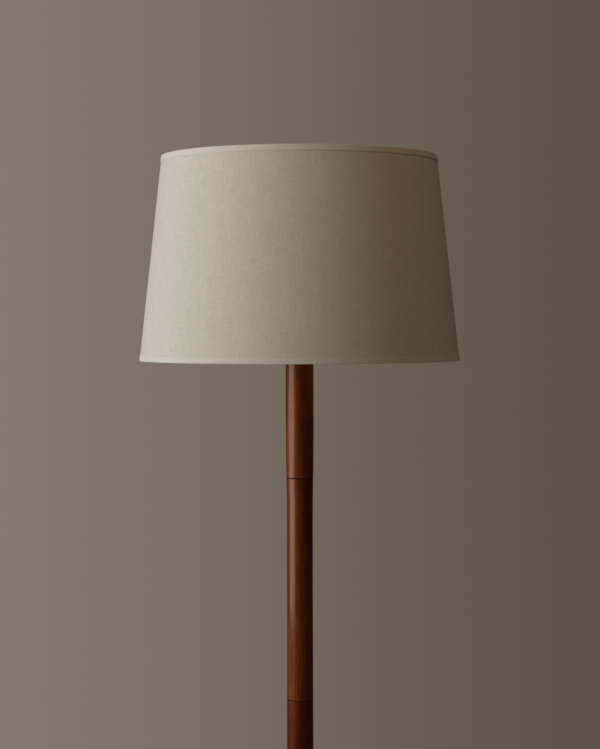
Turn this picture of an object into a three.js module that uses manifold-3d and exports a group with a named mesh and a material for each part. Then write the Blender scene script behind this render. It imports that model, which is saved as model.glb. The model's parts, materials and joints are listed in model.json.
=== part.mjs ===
// Tripod floor lamp: a tapered linen drum shade on a harp, over a turned wooden column that
// stands on three splayed legs. Millimetres, +Z up, origin on the floor at the column's axis.

import * as THREE from 'three';
import { mergeVertices } from 'three/addons/utils/BufferGeometryUtils.js';
import Module from 'manifold-3d';

const wasm = await Module();
wasm.setup();

// ---------------------------------------------------------------- driving dimensions

const GAP = 0.3;
const FULL_TURN = 2 * Math.PI;

// Facets round a turned piece, by its size
const WIDE = 36;
const MIDDLE = 24;
const SMALL = 16;
const NARROW = 12;

// Shade, outermost surfaces with the trim on
const SHADE_BOTTOM_Z = 1240;
const SHADE_TOP_Z = 1529;
const SHADE_BOTTOM_R = 228;
const SHADE_TOP_R = 196;
const TRIM_THICKNESS = 0.8;
const TRIM_HEIGHT = 8.3;
const COVER_THICKNESS = 0.5;
const LINER_THICKNESS = 0.7;
const RING_WIRE_R = 1.8;
const SPIDER_ARMS = 3;
const SPIDER_FIRST_ARM = Math.PI / 2;

// Column: joints between its sections, and its outline as [z, radius]
const SECTION_LENGTH = 318;
const FIRST_JOINT_Z = 436.4;
const COLUMN_TOP_Z = 1262;
const COLUMN_OUTLINE = [
  [436, 19.2], [701, 18.75], [770, 18.7], [900, 18.45], [1010, 18.45],
  [1044, 18.65], [1078, 19.2], [1095, 19.55], [1129, 19.77], [1262, 19.9],
];
const JOINT_RING_THICKNESS = 0.7;
const END_CHAMFER = 0.6;

// Threaded lamp pipe through the column, with a coupling at the foot of each section
const PIPE_R = 4.9;
const PIPE_BORE_R = 3.4;
const PIPE_HOLE_R = 5.3;
const PIPE_STICKS_OUT = 14;
const COUPLING_R = 8.7;
const COUPLING_LENGTH = 28;

// Hub under the column, and its legs
const HUB_R = 43;
const HUB_BOTTOM_Z = 341;
const HUB_BAND_HEIGHT = 14;
const LEGS = 3;
const LEG_SPLAY = THREE.MathUtils.degToRad(30);
const LEG_ATTACH_R = 28;
const LEG_TOP_R = 13;
const LEG_FOOT_R = 8.4;
const LEG_BULGE = 1.1;
const SPOT_FACE_DEPTH = 2.2;
const FOOT_CIRCLE_R = 228;
const FOOT_PAD_R = 8;
const FOOT_PAD_THICKNESS = 4;
const BOLT_R = 4;
const BOLT_IN_LEG = 34;
const BOLT_IN_HUB = 23;
const INSERT_R = 6.2;
const INSERT_LENGTH = 20;

// Harp: half-width at its feet, and the wire's course as [x, z] above the straight foot
const HARP_HALF_FOOT = 35.5;
const HARP_WIRE_R = 2.2;
const HARP_FOOT_TOP_Z = 1318;
const HARP_TOP_Z = 1503;
const HARP_BOW = [
  [40.5, 1334], [50, 1358], [57.5, 1386], [60, 1413], [57.5, 1441], [48, 1468], [31, 1490], [13, 1501],
];
const FERRULE_R = 3.6;
const FERRULE_BORE_R = 2.6;
const FERRULE_LENGTH = 18;
const SADDLE_ARM_TOP_Z = 1276;
const SADDLE_POST_TOP_Z = 1284;
const SADDLE_WIDTH = 9;
const SADDLE_THICKNESS = 2;

// Socket: radii of its nested tubes and the height of the switch
const CAP_R = 17.2;
const SHELL_R = 16.2;
const SLEEVE_R = 15.2;
const SCREW_SHELL_R = 13.8;
const TUBE_WALL = 0.6;
const SOCKET_BODY_TOP_Z = 1304;
const SHELL_TOP_Z = 1331;
const SWITCH_Z = 1297.5;
const SWITCH_SHAFT_R = 2.4;
const SWITCH_HOLE_R = 5.2;
const KNOB_R = 6.6;
const KNOB_LENGTH = 14;
const KNOB_RIBS = 16;

// Bulb with a medium screw base
const BULB_TIP_Z = 1307.3;
const BULB_BASE_R = 12.7;
const BULB_BASE_TOP_Z = 1334.5;
const BULB_GLASS_WALL = 1;

// Stud on the harp, with the spider's washer and the finial on it
const STUD_R = 3;
const STUD_HOLE_R = 3.3;
const WASHER_R = 11;
const FINIAL_HEIGHT = 26;

// ---------------------------------------------------------------- materials

function material(color, roughness, metalness = 0) {
  return new THREE.MeshStandardMaterial({ color, roughness, metalness });
}

const WOOD = material(0x6b3418, 0.38);
const BLACK = material(0x0b0a09, 0.6);
const LINEN = material(0xcfc6b6, 0.95);
const TAPE = material(0xd8d1c3, 0.9);
const LINER = material(0xf1eee6, 0.6);
const BRASS = material(0xb08d4c, 0.32, 1);
const STEEL = material(0xb4b4b0, 0.4, 1);
const PHENOLIC = material(0x17130f, 0.45);
const CARD = material(0xa08a66, 0.95);
const FROSTED = material(0xf4f1ea, 0.35);
const RUBBER = material(0x1b1a19, 0.9);

// ---------------------------------------------------------------- geometry helpers

/** Positions only, shared vertices merged and empty triangles dropped. */
function bare(geometry) {
  const plain = geometry.clone();
  plain.deleteAttribute('normal');
  plain.deleteAttribute('uv');
  const merged = mergeVertices(plain);
  const corners = merged.index.array;
  const kept = [];
  for (let i = 0; i < corners.length; i += 3) {
    const [a, b, c] = corners.slice(i, i + 3);
    if (a !== b && b !== c && c !== a) kept.push(a, b, c);
  }
  merged.setIndex(kept);
  return merged;
}

/** The same closed surface with its faces pointing out. */
function facingOut(geometry) {
  const merged = bare(geometry);
  const corners = merged.index.array;
  const positions = merged.attributes.position;
  const [a, b, c] = [new THREE.Vector3(), new THREE.Vector3(), new THREE.Vector3()];
  let volume = 0;
  for (let i = 0; i < corners.length; i += 3) {
    a.fromBufferAttribute(positions, corners[i]);
    b.fromBufferAttribute(positions, corners[i + 1]);
    c.fromBufferAttribute(positions, corners[i + 2]);
    volume += a.dot(b.cross(c));
  }
  if (volume < 0) merged.setIndex([...corners].reverse());
  return merged;
}

/** A solid turned about +Z from an outline of [radius, z] that starts and ends on the axis. */
function turned(outline, segments = MIDDLE) {
  const points = outline.map(([radius, z]) => new THREE.Vector2(radius, z));
  const geometry = new THREE.LatheGeometry(points, segments);
  geometry.rotateX(Math.PI / 2);
  return facingOut(geometry);
}

/** A ring turned about +Z from an outline that stays off the axis. */
function turnedRing(outline, segments = MIDDLE) {
  return turned([...outline, outline[0]], segments);
}

function rod(radius, low, high, segments = NARROW) {
  return turned([[0, low], [radius, low], [radius, high], [0, high]], segments);
}

function tube(radius, bore, low, high, segments = MIDDLE) {
  return turnedRing([[bore, low], [radius, low], [radius, high], [bore, high]], segments);
}

/** A round wire of eight sides along a curve. An arc takes two sides for each curve segment. */
function wire(curve, radius, steps) {
  const section = new THREE.Shape().absarc(0, 0, radius, 0, FULL_TURN);
  const options = { extrudePath: curve, steps, curveSegments: 4, bevelEnabled: false };
  return facingOut(new THREE.ExtrudeGeometry(section, options));
}

function block(low, high) {
  const size = high.map((value, axis) => value - low[axis]);
  const geometry = new THREE.BoxGeometry(...size);
  geometry.translate(...high.map((value, axis) => (value + low[axis]) / 2));
  return geometry;
}

function solid(geometry) {
  const merged = bare(geometry);
  return new wasm.Manifold(new wasm.Mesh({
    numProp: 3,
    vertProperties: Float32Array.from(merged.attributes.position.array),
    triVerts: Uint32Array.from(merged.index.array),
  }));
}

function fromSolid(shape) {
  const { vertProperties, triVerts } = shape.getMesh();
  const geometry = new THREE.BufferGeometry();
  geometry.setAttribute('position', new THREE.BufferAttribute(vertProperties, 3));
  geometry.setIndex([...triVerts]);
  return geometry;
}

function cut(base, ...tools) {
  return fromSolid(tools.reduce((shape, tool) => shape.subtract(solid(tool)), solid(base)));
}

function joined(...pieces) {
  return fromSolid(pieces.map(solid).reduce((shape, piece) => shape.add(piece)));
}

// ---------------------------------------------------------------- scene helpers

const lamp = new THREE.Group();

function add(name, geometry, finish, parent = lamp) {
  const mesh = new THREE.Mesh(geometry, finish);
  mesh.name = name;
  parent.add(mesh);
  return mesh;
}

/** A frame whose +Z points out of the socket's side, along -Y, at a given height. */
function sideways(z) {
  const frame = new THREE.Group();
  frame.position.z = z;
  frame.rotation.x = Math.PI / 2;
  frame.updateMatrixWorld(true);
  return frame;
}

// ---------------------------------------------------------------- hub and legs

const SPLAY_SLOPE = Math.tan(LEG_SPLAY);
const FOOT_CUT_Z = FOOT_PAD_THICKNESS + GAP;
const LEG_ATTACH_Z = FOOT_CUT_Z + (FOOT_CIRCLE_R - LEG_ATTACH_R) / SPLAY_SLOPE;
const LEG_LENGTH = (FOOT_CIRCLE_R - LEG_ATTACH_R) / Math.sin(LEG_SPLAY);

/** Height of the hub's coned underside, which is square to the legs. */
function undersideZ(radius) {
  return LEG_ATTACH_Z + (radius - LEG_ATTACH_R) * SPLAY_SLOPE;
}

/** Two nested groups for leg k: one turned to its side, and one along its axis inside it. */
function legFrames(k) {
  const side = new THREE.Group();
  side.rotation.z = k * FULL_TURN / LEGS;
  const axis = new THREE.Group();
  axis.position.set(0, -LEG_ATTACH_R, LEG_ATTACH_Z);
  axis.rotation.x = -LEG_SPLAY;
  side.add(axis);
  side.updateMatrixWorld(true);
  return { side, axis };
}

function hub() {
  const round = 1.5;
  const bandBottom = undersideZ(HUB_R) + round;
  const bandTop = bandBottom + HUB_BAND_HEIGHT;
  const top = FIRST_JOINT_Z - JOINT_RING_THICKNESS / 2 - GAP;
  const neck = columnRadius(top);
  const coveTop = top - 8;
  const coveStart = HUB_R - round;
  const coveSteps = 5;
  const cove = [];
  for (let i = coveSteps; i >= 0; i -= 1) {
    const angle = (i / coveSteps) * Math.PI / 2;
    const radius = coveStart - (coveStart - neck) * Math.cos(angle);
    cove.push([radius, coveTop - (coveTop - bandTop) * Math.sin(angle)]);
  }
  const flat = LEG_ATTACH_R - (LEG_ATTACH_Z - HUB_BOTTOM_Z) / SPLAY_SLOPE;
  const body = turnedRing([
    [PIPE_HOLE_R, HUB_BOTTOM_Z],
    [flat, HUB_BOTTOM_Z],
    [HUB_R - round, undersideZ(HUB_R - round)],
    [HUB_R, bandBottom],
    [HUB_R, bandTop - round],
    ...cove,
    [neck, top - END_CHAMFER],
    [neck - END_CHAMFER, top],
    [PIPE_HOLE_R, top],
  ]);
  const recess = turned([
    [0, -20],
    [LEG_TOP_R + 0.4, -20],
    [LEG_TOP_R + 0.4, SPOT_FACE_DEPTH],
    [INSERT_R + GAP, SPOT_FACE_DEPTH],
    [INSERT_R + GAP, SPOT_FACE_DEPTH + BOLT_IN_HUB + 2],
    [0, SPOT_FACE_DEPTH + BOLT_IN_HUB + 2],
  ], SMALL);
  const recesses = [];
  for (let k = 0; k < LEGS; k += 1) {
    recesses.push(recess.clone().applyMatrix4(legFrames(k).axis.matrixWorld));
  }
  return cut(body, ...recesses);
}

/** Leg about its own axis: 0 is the hub's nominal underside, and the foot is cut level. */
function leg() {
  const top = SPOT_FACE_DEPTH - GAP;
  const bottom = -LEG_LENGTH - LEG_FOOT_R;
  const stations = 5;
  const side = [];
  for (let i = 0; i <= stations; i += 1) {
    const share = i / stations;
    const taper = LEG_FOOT_R + (LEG_TOP_R - LEG_FOOT_R) * share;
    side.push([taper + LEG_BULGE * Math.sin(Math.PI * share), bottom + (top - 1 - bottom) * share]);
  }
  const whole = turned([
    [0, bottom],
    ...side,
    [LEG_TOP_R - 1, top],
    [BOLT_R + GAP, top],
    [BOLT_R + GAP, top - BOLT_IN_LEG],
    [0, top - BOLT_IN_LEG],
  ], SMALL);
  const floor = block([-40, -40, -40], [40, 40, 0]);
  floor.rotateX(LEG_SPLAY);
  floor.translate(0, 0, -LEG_LENGTH);
  return cut(whole, floor);
}

function legBolt() {
  return rod(BOLT_R, SPOT_FACE_DEPTH - BOLT_IN_LEG + 0.5, SPOT_FACE_DEPTH + BOLT_IN_HUB);
}

function legInsert() {
  const low = SPOT_FACE_DEPTH + 2 * GAP;
  return tube(INSERT_R, BOLT_R + GAP, low, low + INSERT_LENGTH, NARROW);
}

function footPad() {
  return turned([
    [0, 0],
    [FOOT_PAD_R, 0],
    [FOOT_PAD_R, FOOT_PAD_THICKNESS - 1],
    [FOOT_PAD_R - 1, FOOT_PAD_THICKNESS],
    [0, FOOT_PAD_THICKNESS],
  ], SMALL);
}

/** Washer, nut and cord bushing that close the pipe under the hub. */
const NUT_TOP_Z = HUB_BOTTOM_Z - 2.2;
const NUT_BOTTOM_Z = NUT_TOP_Z - 5;
const PIPE_END_Z = NUT_BOTTOM_Z - 4;

function hubNut() {
  const acrossCorners = 9.2;
  const shape = new THREE.Shape();
  for (let i = 0; i < 6; i += 1) {
    const angle = i * FULL_TURN / 6;
    shape.lineTo(acrossCorners * Math.cos(angle), acrossCorners * Math.sin(angle));
  }
  shape.closePath();
  const blank = new THREE.ExtrudeGeometry(shape, { depth: NUT_TOP_Z - NUT_BOTTOM_Z, bevelEnabled: false });
  blank.translate(0, 0, NUT_BOTTOM_Z);
  return cut(facingOut(blank), rod(PIPE_HOLE_R, NUT_BOTTOM_Z - 1, NUT_TOP_Z + 1));
}

function cordBushing() {
  const mouth = 3.2;
  const low = PIPE_END_Z - 2.8;
  return turnedRing([
    [mouth + 0.6, low],
    [6, low],
    [6.8, low + 0.8],
    [6.8, NUT_BOTTOM_Z - GAP],
    [PIPE_HOLE_R, NUT_BOTTOM_Z - GAP],
    [PIPE_HOLE_R, PIPE_END_Z - GAP],
    [mouth, PIPE_END_Z - GAP],
    [mouth, low + 0.6],
  ], NARROW);
}

function addBase() {
  add('hub', hub(), WOOD);
  for (let k = 0; k < LEGS; k += 1) {
    const { side, axis } = legFrames(k);
    lamp.add(side);
    add(`leg_${k + 1}`, leg(), WOOD, axis);
    add(`leg_bolt_${k + 1}`, legBolt(), STEEL, axis);
    add(`leg_insert_${k + 1}`, legInsert(), BRASS, axis);
    add(`foot_pad_${k + 1}`, footPad(), RUBBER, side).position.y = -FOOT_CIRCLE_R;
  }
  add('hub_washer', tube(10.5, PIPE_HOLE_R, NUT_TOP_Z + GAP, HUB_BOTTOM_Z - GAP, SMALL), STEEL);
  add('hub_nut', hubNut(), BRASS);
  add('cord_bushing', cordBushing(), RUBBER);
}

// ---------------------------------------------------------------- column

function columnRadius(z) {
  const next = COLUMN_OUTLINE.findIndex(([height]) => height >= z);
  const [lowZ, lowR] = COLUMN_OUTLINE[Math.max(next - 1, 0)];
  const [highZ, highR] = COLUMN_OUTLINE[Math.max(next, 1)];
  return lowR + (highR - lowR) * (z - lowZ) / (highZ - lowZ);
}

function jointZ(k) {
  return FIRST_JOINT_Z + k * SECTION_LENGTH;
}

/** Turned tube with a counterbore at its foot for the pipe coupling. */
function columnSection(low, high) {
  const between = COLUMN_OUTLINE.filter(([z]) => z > low + 5 && z < high - 5);
  const counterbore = low + COUPLING_LENGTH + 2;
  return turnedRing([
    [COUPLING_R + GAP, low],
    [columnRadius(low) - END_CHAMFER, low],
    [columnRadius(low), low + END_CHAMFER],
    ...between.map(([z, radius]) => [radius, z]),
    [columnRadius(high), high - END_CHAMFER],
    [columnRadius(high) - END_CHAMFER, high],
    [PIPE_HOLE_R, high],
    [PIPE_HOLE_R, counterbore],
    [COUPLING_R + GAP, counterbore],
  ]);
}

function addColumn() {
  const half = JOINT_RING_THICKNESS / 2;
  let pipeLow = PIPE_END_Z;
  for (let k = 0; k < 3; k += 1) {
    const joint = jointZ(k);
    const low = joint + half + GAP;
    const high = k < 2 ? jointZ(k + 1) - half - GAP : COLUMN_TOP_Z;
    const ring = tube(columnRadius(joint) - 0.2, COUPLING_R + GAP, joint - half, joint + half);
    add(`column_section_${k + 1}`, columnSection(low, high), WOOD);
    add(`joint_ring_${k + 1}`, ring, BLACK);
    add(`pipe_coupling_${k + 1}`, tube(COUPLING_R, PIPE_HOLE_R, low, low + COUPLING_LENGTH, NARROW), BRASS);
    add(`lamp_pipe_${k + 1}`, tube(PIPE_R, PIPE_BORE_R, pipeLow, joint + PIPE_STICKS_OUT, NARROW), STEEL);
    pipeLow = joint + PIPE_STICKS_OUT + 2 * GAP;
  }
  add('lamp_pipe_4', tube(PIPE_R, PIPE_BORE_R, pipeLow, CAP_FLOOR_Z, NARROW), STEEL);
}

// ---------------------------------------------------------------- socket and switch

const CHECK_RING_LOW = COLUMN_TOP_Z + GAP;
const CHECK_RING_TOP = CHECK_RING_LOW + 3;
const SADDLE_LOW = CHECK_RING_TOP + GAP;
const CAP_LOW = SADDLE_LOW + SADDLE_THICKNESS + GAP;
const CAP_FLOOR_Z = CAP_LOW + 8.3;
const CAP_TOP_Z = CAP_LOW + 23;

function checkRing() {
  return turnedRing([
    [PIPE_HOLE_R, CHECK_RING_LOW],
    [16.5, CHECK_RING_LOW],
    [16.5, CHECK_RING_LOW + 1.2],
    [13, CHECK_RING_TOP],
    [PIPE_HOLE_R, CHECK_RING_TOP],
  ]);
}

/** Sheet-metal saddle: a flat strip whose ends turn up and carry the harp's two posts. */
function harpSaddle() {
  const inner = HARP_HALF_FOOT - SADDLE_THICKNESS / 2;
  const outer = inner + SADDLE_THICKNESS;
  const bend = 5;
  const bendZ = SADDLE_LOW + bend;
  const outline = new THREE.Shape();
  outline.moveTo(-outer, SADDLE_ARM_TOP_Z);
  outline.lineTo(-outer, bendZ);
  outline.absarc(-outer + bend, bendZ, bend, Math.PI, 1.5 * Math.PI, false);
  outline.absarc(outer - bend, bendZ, bend, 1.5 * Math.PI, FULL_TURN, false);
  outline.lineTo(outer, SADDLE_ARM_TOP_Z);
  outline.lineTo(inner, SADDLE_ARM_TOP_Z);
  outline.lineTo(inner, bendZ);
  outline.absarc(outer - bend, bendZ, bend - SADDLE_THICKNESS, FULL_TURN, 1.5 * Math.PI, true);
  outline.absarc(-outer + bend, bendZ, bend - SADDLE_THICKNESS, 1.5 * Math.PI, Math.PI, true);
  outline.lineTo(-inner, SADDLE_ARM_TOP_Z);
  outline.closePath();
  const options = { depth: SADDLE_WIDTH, bevelEnabled: false, curveSegments: 4 };
  const strip = new THREE.ExtrudeGeometry(outline, options);
  strip.rotateX(Math.PI / 2);
  strip.translate(0, SADDLE_WIDTH / 2, 0);
  const boss = rod(9, SADDLE_LOW, SADDLE_LOW + SADDLE_THICKNESS, SMALL);
  const hole = rod(PIPE_HOLE_R, SADDLE_LOW - 1, CAP_LOW);
  const posts = [-1, 1].map((side) => {
    const post = rod(HARP_WIRE_R - 0.1, SADDLE_ARM_TOP_Z - 3, SADDLE_POST_TOP_Z);
    return post.translate(side * HARP_HALF_FOOT, 0, 0);
  });
  return cut(joined(facingOut(strip), boss, ...posts), hole);
}

const SET_SCREW_R = 1.5;
const SET_SCREW_Z = CAP_LOW + 3.4;

function socketCap() {
  const wall = CAP_R - TUBE_WALL;
  const cup = turnedRing([
    [PIPE_HOLE_R, CAP_LOW],
    [9, CAP_LOW],
    [9.6, CAP_LOW + 0.6],
    [9.6, CAP_LOW + 6],
    [13.4, CAP_LOW + 8],
    [16.4, CAP_LOW + 11.5],
    [CAP_R, CAP_LOW + 15],
    [CAP_R, CAP_TOP_Z],
    [wall, CAP_TOP_Z],
    [wall, CAP_LOW + 15.2],
    [15.8, CAP_LOW + 12],
    [12.9, CAP_FLOOR_Z + 0.5],
    [PIPE_HOLE_R, CAP_FLOOR_Z + 0.5],
  ]);
  const hole = rod(SET_SCREW_R + GAP, PIPE_R, CAP_R);
  hole.rotateX(-Math.PI / 2);
  hole.translate(0, 0, SET_SCREW_Z);
  return cut(cup, hole);
}

function socketShell() {
  const bead = SHELL_R + 0.6;
  const shell = turnedRing([
    [SHELL_R - TUBE_WALL, CAP_TOP_Z - 6],
    [SHELL_R, CAP_TOP_Z - 6],
    [SHELL_R, SHELL_TOP_Z - 3],
    [bead, SHELL_TOP_Z - 2],
    [bead, SHELL_TOP_Z - 0.6],
    [SHELL_R, SHELL_TOP_Z],
    [SHELL_R - TUBE_WALL, SHELL_TOP_Z],
  ]);
  return cut(shell, switchHole(SWITCH_HOLE_R, 0, SHELL_R + 4));
}

function insulatingSleeve() {
  const sleeve = tube(SLEEVE_R, SLEEVE_R - TUBE_WALL, CAP_TOP_Z - 5, SHELL_TOP_Z - 3);
  return cut(sleeve, switchHole(SWITCH_HOLE_R - 1, 0, SHELL_R + 4));
}

/** A cylinder out of the socket's axis along -Y, at the switch's height. */
function switchHole(radius, from, to) {
  return rod(radius, from, to).applyMatrix4(sideways(SWITCH_Z).matrixWorld);
}

const TERMINAL_Z = CAP_FLOOR_Z + 6.5;
const TERMINAL_R = 1.5;
const WAIST_R = 10.4;

/** Moulded body that holds the switch works, with a waist for the terminal screws. */
function socketBody() {
  const broad = SCREW_SHELL_R;
  const low = CAP_FLOOR_Z + 1;
  const whole = turned([
    [0, low],
    [WAIST_R - 1, low],
    [WAIST_R, low + 1],
    [WAIST_R, low + 11],
    [broad, low + 12.5],
    [broad, SOCKET_BODY_TOP_Z],
    [0, SOCKET_BODY_TOP_Z],
  ]);
  const terminals = [-1, 1].map((side) => {
    const hole = rod(TERMINAL_R + GAP, 5, WAIST_R + 2);
    return hole.rotateY(side * Math.PI / 2).translate(0, 0, TERMINAL_Z);
  });
  return cut(whole, switchHole(SWITCH_SHAFT_R + GAP, 4, broad + 2), ...terminals);
}

function terminalScrew(side) {
  const screw = turned([
    [0, 5.5],
    [TERMINAL_R, 5.5],
    [TERMINAL_R, WAIST_R + GAP],
    [3, WAIST_R + GAP],
    [3, WAIST_R + 1.8],
    [2.4, WAIST_R + 2.4],
    [0, WAIST_R + 2.4],
  ], NARROW);
  return screw.rotateY(side * Math.PI / 2).translate(0, 0, TERMINAL_Z);
}

function screwShell() {
  const low = SOCKET_BODY_TOP_Z + GAP;
  const wall = SCREW_SHELL_R - TUBE_WALL;
  return turnedRing([
    [5, low],
    [SCREW_SHELL_R, low],
    [SCREW_SHELL_R, SHELL_TOP_Z - 3],
    [wall, SHELL_TOP_Z - 3],
    [wall, low + 0.8],
    [5, low + 0.8],
  ]);
}

function centreContact() {
  const low = SOCKET_BODY_TOP_Z + GAP;
  const top = BULB_TIP_Z - GAP;
  return turned([[0, low], [3.6, low], [3.6, low + 1], [2.4, top], [0, top]], NARROW);
}

/** Ribbed knob about its own +Z, with a blind hole for the shaft. */
function switchKnob() {
  const start = SHELL_R + 3;
  const shape = new THREE.Shape();
  for (let i = 0; i < 2 * KNOB_RIBS; i += 1) {
    const angle = i * FULL_TURN / (2 * KNOB_RIBS);
    const radius = KNOB_R - (i % 2) * 0.7;
    shape.lineTo(radius * Math.cos(angle), radius * Math.sin(angle));
  }
  shape.closePath();
  const bevel = { bevelThickness: 0.8, bevelSize: 0.8, bevelOffset: -0.8, bevelSegments: 1 };
  const blank = new THREE.ExtrudeGeometry(shape, { depth: KNOB_LENGTH - 1.6, ...bevel });
  blank.translate(0, 0, start + 0.8);
  return cut(facingOut(blank), rod(SWITCH_SHAFT_R + GAP, start - 1, start + KNOB_LENGTH - 3));
}

function addSocket() {
  add('check_ring', checkRing(), BRASS);
  add('harp_saddle', harpSaddle(), BRASS);
  add('socket_cap', socketCap(), BRASS);
  const setScrew = rod(SET_SCREW_R, PIPE_HOLE_R + 0.1, 9.8).rotateX(-Math.PI / 2);
  add('cap_set_screw', setScrew, STEEL).position.z = SET_SCREW_Z;
  add('socket_shell', socketShell(), BRASS);
  add('insulating_sleeve', insulatingSleeve(), CARD);
  add('socket_body', socketBody(), PHENOLIC);
  add('terminal_screw_1', terminalScrew(-1), STEEL);
  add('terminal_screw_2', terminalScrew(1), BRASS);
  add('screw_shell', screwShell(), BRASS);
  add('centre_contact', centreContact(), BRASS);
  const frame = sideways(SWITCH_Z);
  lamp.add(frame);
  add('switch_shaft', rod(SWITCH_SHAFT_R, 4.5, SHELL_R + KNOB_LENGTH - GAP), BRASS, frame);
  add('switch_knob', switchKnob(), PHENOLIC, frame);
}

// ---------------------------------------------------------------- bulb

function bulbGlass() {
  const neck = 11.6;
  const outer = [
    [neck, BULB_BASE_TOP_Z + 0.5], [15, 1343], [22.5, 1358], [28.6, 1374], [30, 1387],
    [27.3, 1401], [19.5, 1411.7], [10, 1415.6], [0, 1416.5],
  ];
  const innerTop = [0, outer.at(-1)[1] - BULB_GLASS_WALL];
  const inner = outer.slice(0, -1).reverse().map(([radius, z]) => {
    return [radius - BULB_GLASS_WALL, z - BULB_GLASS_WALL * (z > 1385 ? 0.6 : 0)];
  });
  const foot = BULB_BASE_TOP_Z - 8;
  return turned([innerTop, ...inner, [neck - BULB_GLASS_WALL, foot], [neck, foot], ...outer], SMALL);
}

function bulbBase() {
  const low = BULB_TIP_Z + 5.7;
  const wall = BULB_BASE_R - TUBE_WALL;
  return turnedRing([
    [2, low],
    [BULB_BASE_R - 1, low],
    [BULB_BASE_R, low + 1.5],
    [BULB_BASE_R, BULB_BASE_TOP_Z],
    [wall, BULB_BASE_TOP_Z],
    [wall, low + 1.8],
    [2, low + TUBE_WALL],
  ]);
}

function addBulb() {
  const tip = [[0, BULB_TIP_Z], [3.2, BULB_TIP_Z + 0.4], [4.6, BULB_TIP_Z + 1.7], [0, BULB_TIP_Z + 1.7]];
  const low = BULB_TIP_Z + 2;
  const high = BULB_TIP_Z + 5.4;
  const foot = BULB_BASE_TOP_Z - 6;
  add('bulb_glass', bulbGlass(), FROSTED);
  const stem = [[0, foot], [6, foot], [3, foot + 12], [1.6, foot + 34], [0, foot + 34]];
  add('bulb_stem', turned(stem, NARROW), FROSTED);
  add('bulb_base', bulbBase(), STEEL);
  add('bulb_insulator', turned([[0, low], [5, low], [11.5, high], [0, high]], SMALL), PHENOLIC);
  add('bulb_tip', turned(tip, NARROW), STEEL);
}

// ---------------------------------------------------------------- harp

function harpWire() {
  const foot = [SADDLE_POST_TOP_Z + GAP, 1300, HARP_FOOT_TOP_Z - 5, HARP_FOOT_TOP_Z];
  const right = [...foot.map((z) => [HARP_HALF_FOOT, z]), ...HARP_BOW];
  const left = right.map(([x, z]) => [-x, z]).reverse();
  const points = [...right, [0, HARP_TOP_Z], ...left].map(([x, z]) => new THREE.Vector3(x, 0, z));
  return wire(new THREE.CatmullRomCurve3(points), HARP_WIRE_R, 48);
}

const STUD_LOW = HARP_TOP_Z + HARP_WIRE_R + GAP;
const WASHER_LOW = STUD_LOW + 1.8;
const WASHER_TOP = WASHER_LOW + 2;
const STUD_TOP = STUD_LOW + 14;

function harpStud() {
  const plate = STUD_LOW + 1.5;
  return turned([
    [0, STUD_LOW],
    [8, STUD_LOW],
    [8, plate],
    [STUD_R, plate],
    [STUD_R, STUD_TOP],
    [0, STUD_TOP],
  ], SMALL);
}

function addHarp() {
  add('harp_wire', harpWire(), BRASS);
  add('harp_stud', harpStud(), BRASS);
  const low = SADDLE_ARM_TOP_Z + 2 * GAP;
  for (const [name, side] of [['ferrule_left', -1], ['ferrule_right', 1]]) {
    const ferrule = tube(FERRULE_R, FERRULE_BORE_R, low, low + FERRULE_LENGTH, NARROW);
    add(name, ferrule, BRASS).position.x = side * HARP_HALF_FOOT;
  }
}

// ---------------------------------------------------------------- shade

/** Insets from the shade's outermost surface: cover, liner, ring wire, then the trim's inner leg. */
const COVER_INSET = TRIM_THICKNESS + GAP;
const LINER_INSET = COVER_INSET + COVER_THICKNESS + GAP;
const RING_INSET = LINER_INSET + LINER_THICKNESS + GAP + RING_WIRE_R;
const TRIM_INNER_INSET = RING_INSET + RING_WIRE_R + GAP;
const RING_DEPTH = TRIM_THICKNESS + GAP + RING_WIRE_R;

function shadeRadius(z) {
  const share = (z - SHADE_BOTTOM_Z) / (SHADE_TOP_Z - SHADE_BOTTOM_Z);
  return SHADE_BOTTOM_R + (SHADE_TOP_R - SHADE_BOTTOM_R) * share;
}

function shadeSkin(inset, thickness) {
  const low = SHADE_BOTTOM_Z + COVER_INSET;
  const high = SHADE_TOP_Z - COVER_INSET;
  return turnedRing([
    [shadeRadius(low) - inset, low],
    [shadeRadius(high) - inset, high],
    [shadeRadius(high) - inset - thickness, high],
    [shadeRadius(low) - inset - thickness, low],
  ], WIDE);
}

/** U-section tape over a rim. Inwards is +1 at the bottom rim and -1 at the top rim. */
function rimTrim(rimZ, inwards) {
  const inner = TRIM_INNER_INSET;
  const outline = [
    [0, 0],
    [0, TRIM_HEIGHT],
    [TRIM_THICKNESS, TRIM_HEIGHT],
    [TRIM_THICKNESS, TRIM_THICKNESS],
    [inner, TRIM_THICKNESS],
    [inner, TRIM_HEIGHT],
    [inner + TRIM_THICKNESS, TRIM_HEIGHT],
    [inner + TRIM_THICKNESS, 0],
  ];
  return turnedRing(outline.map(([inset, depth]) => {
    const z = rimZ + inwards * depth;
    return [shadeRadius(z) - inset, z];
  }), WIDE);
}

function armAngle(k) {
  return SPIDER_FIRST_ARM + k * FULL_TURN / SPIDER_ARMS;
}

/** The top trim's inner leg is notched where the spider's arms reach the ring. */
function topTrim() {
  const notches = [];
  for (let k = 0; k < SPIDER_ARMS; k += 1) {
    const low = [SHADE_TOP_R - 20, -RING_WIRE_R - 1, SHADE_TOP_Z - TRIM_HEIGHT - 1];
    const high = [SHADE_TOP_R - RING_INSET, RING_WIRE_R + 1, SHADE_TOP_Z - TRIM_THICKNESS];
    notches.push(block(low, high).rotateZ(armAngle(k)));
  }
  return cut(rimTrim(SHADE_TOP_Z, -1), ...notches);
}

function rimRing(rimZ, inwards) {
  const z = rimZ + inwards * RING_DEPTH;
  const ring = new THREE.TorusGeometry(shadeRadius(z) - RING_INSET, RING_WIRE_R, 6, WIDE);
  return facingOut(ring.translate(0, 0, z));
}

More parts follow.
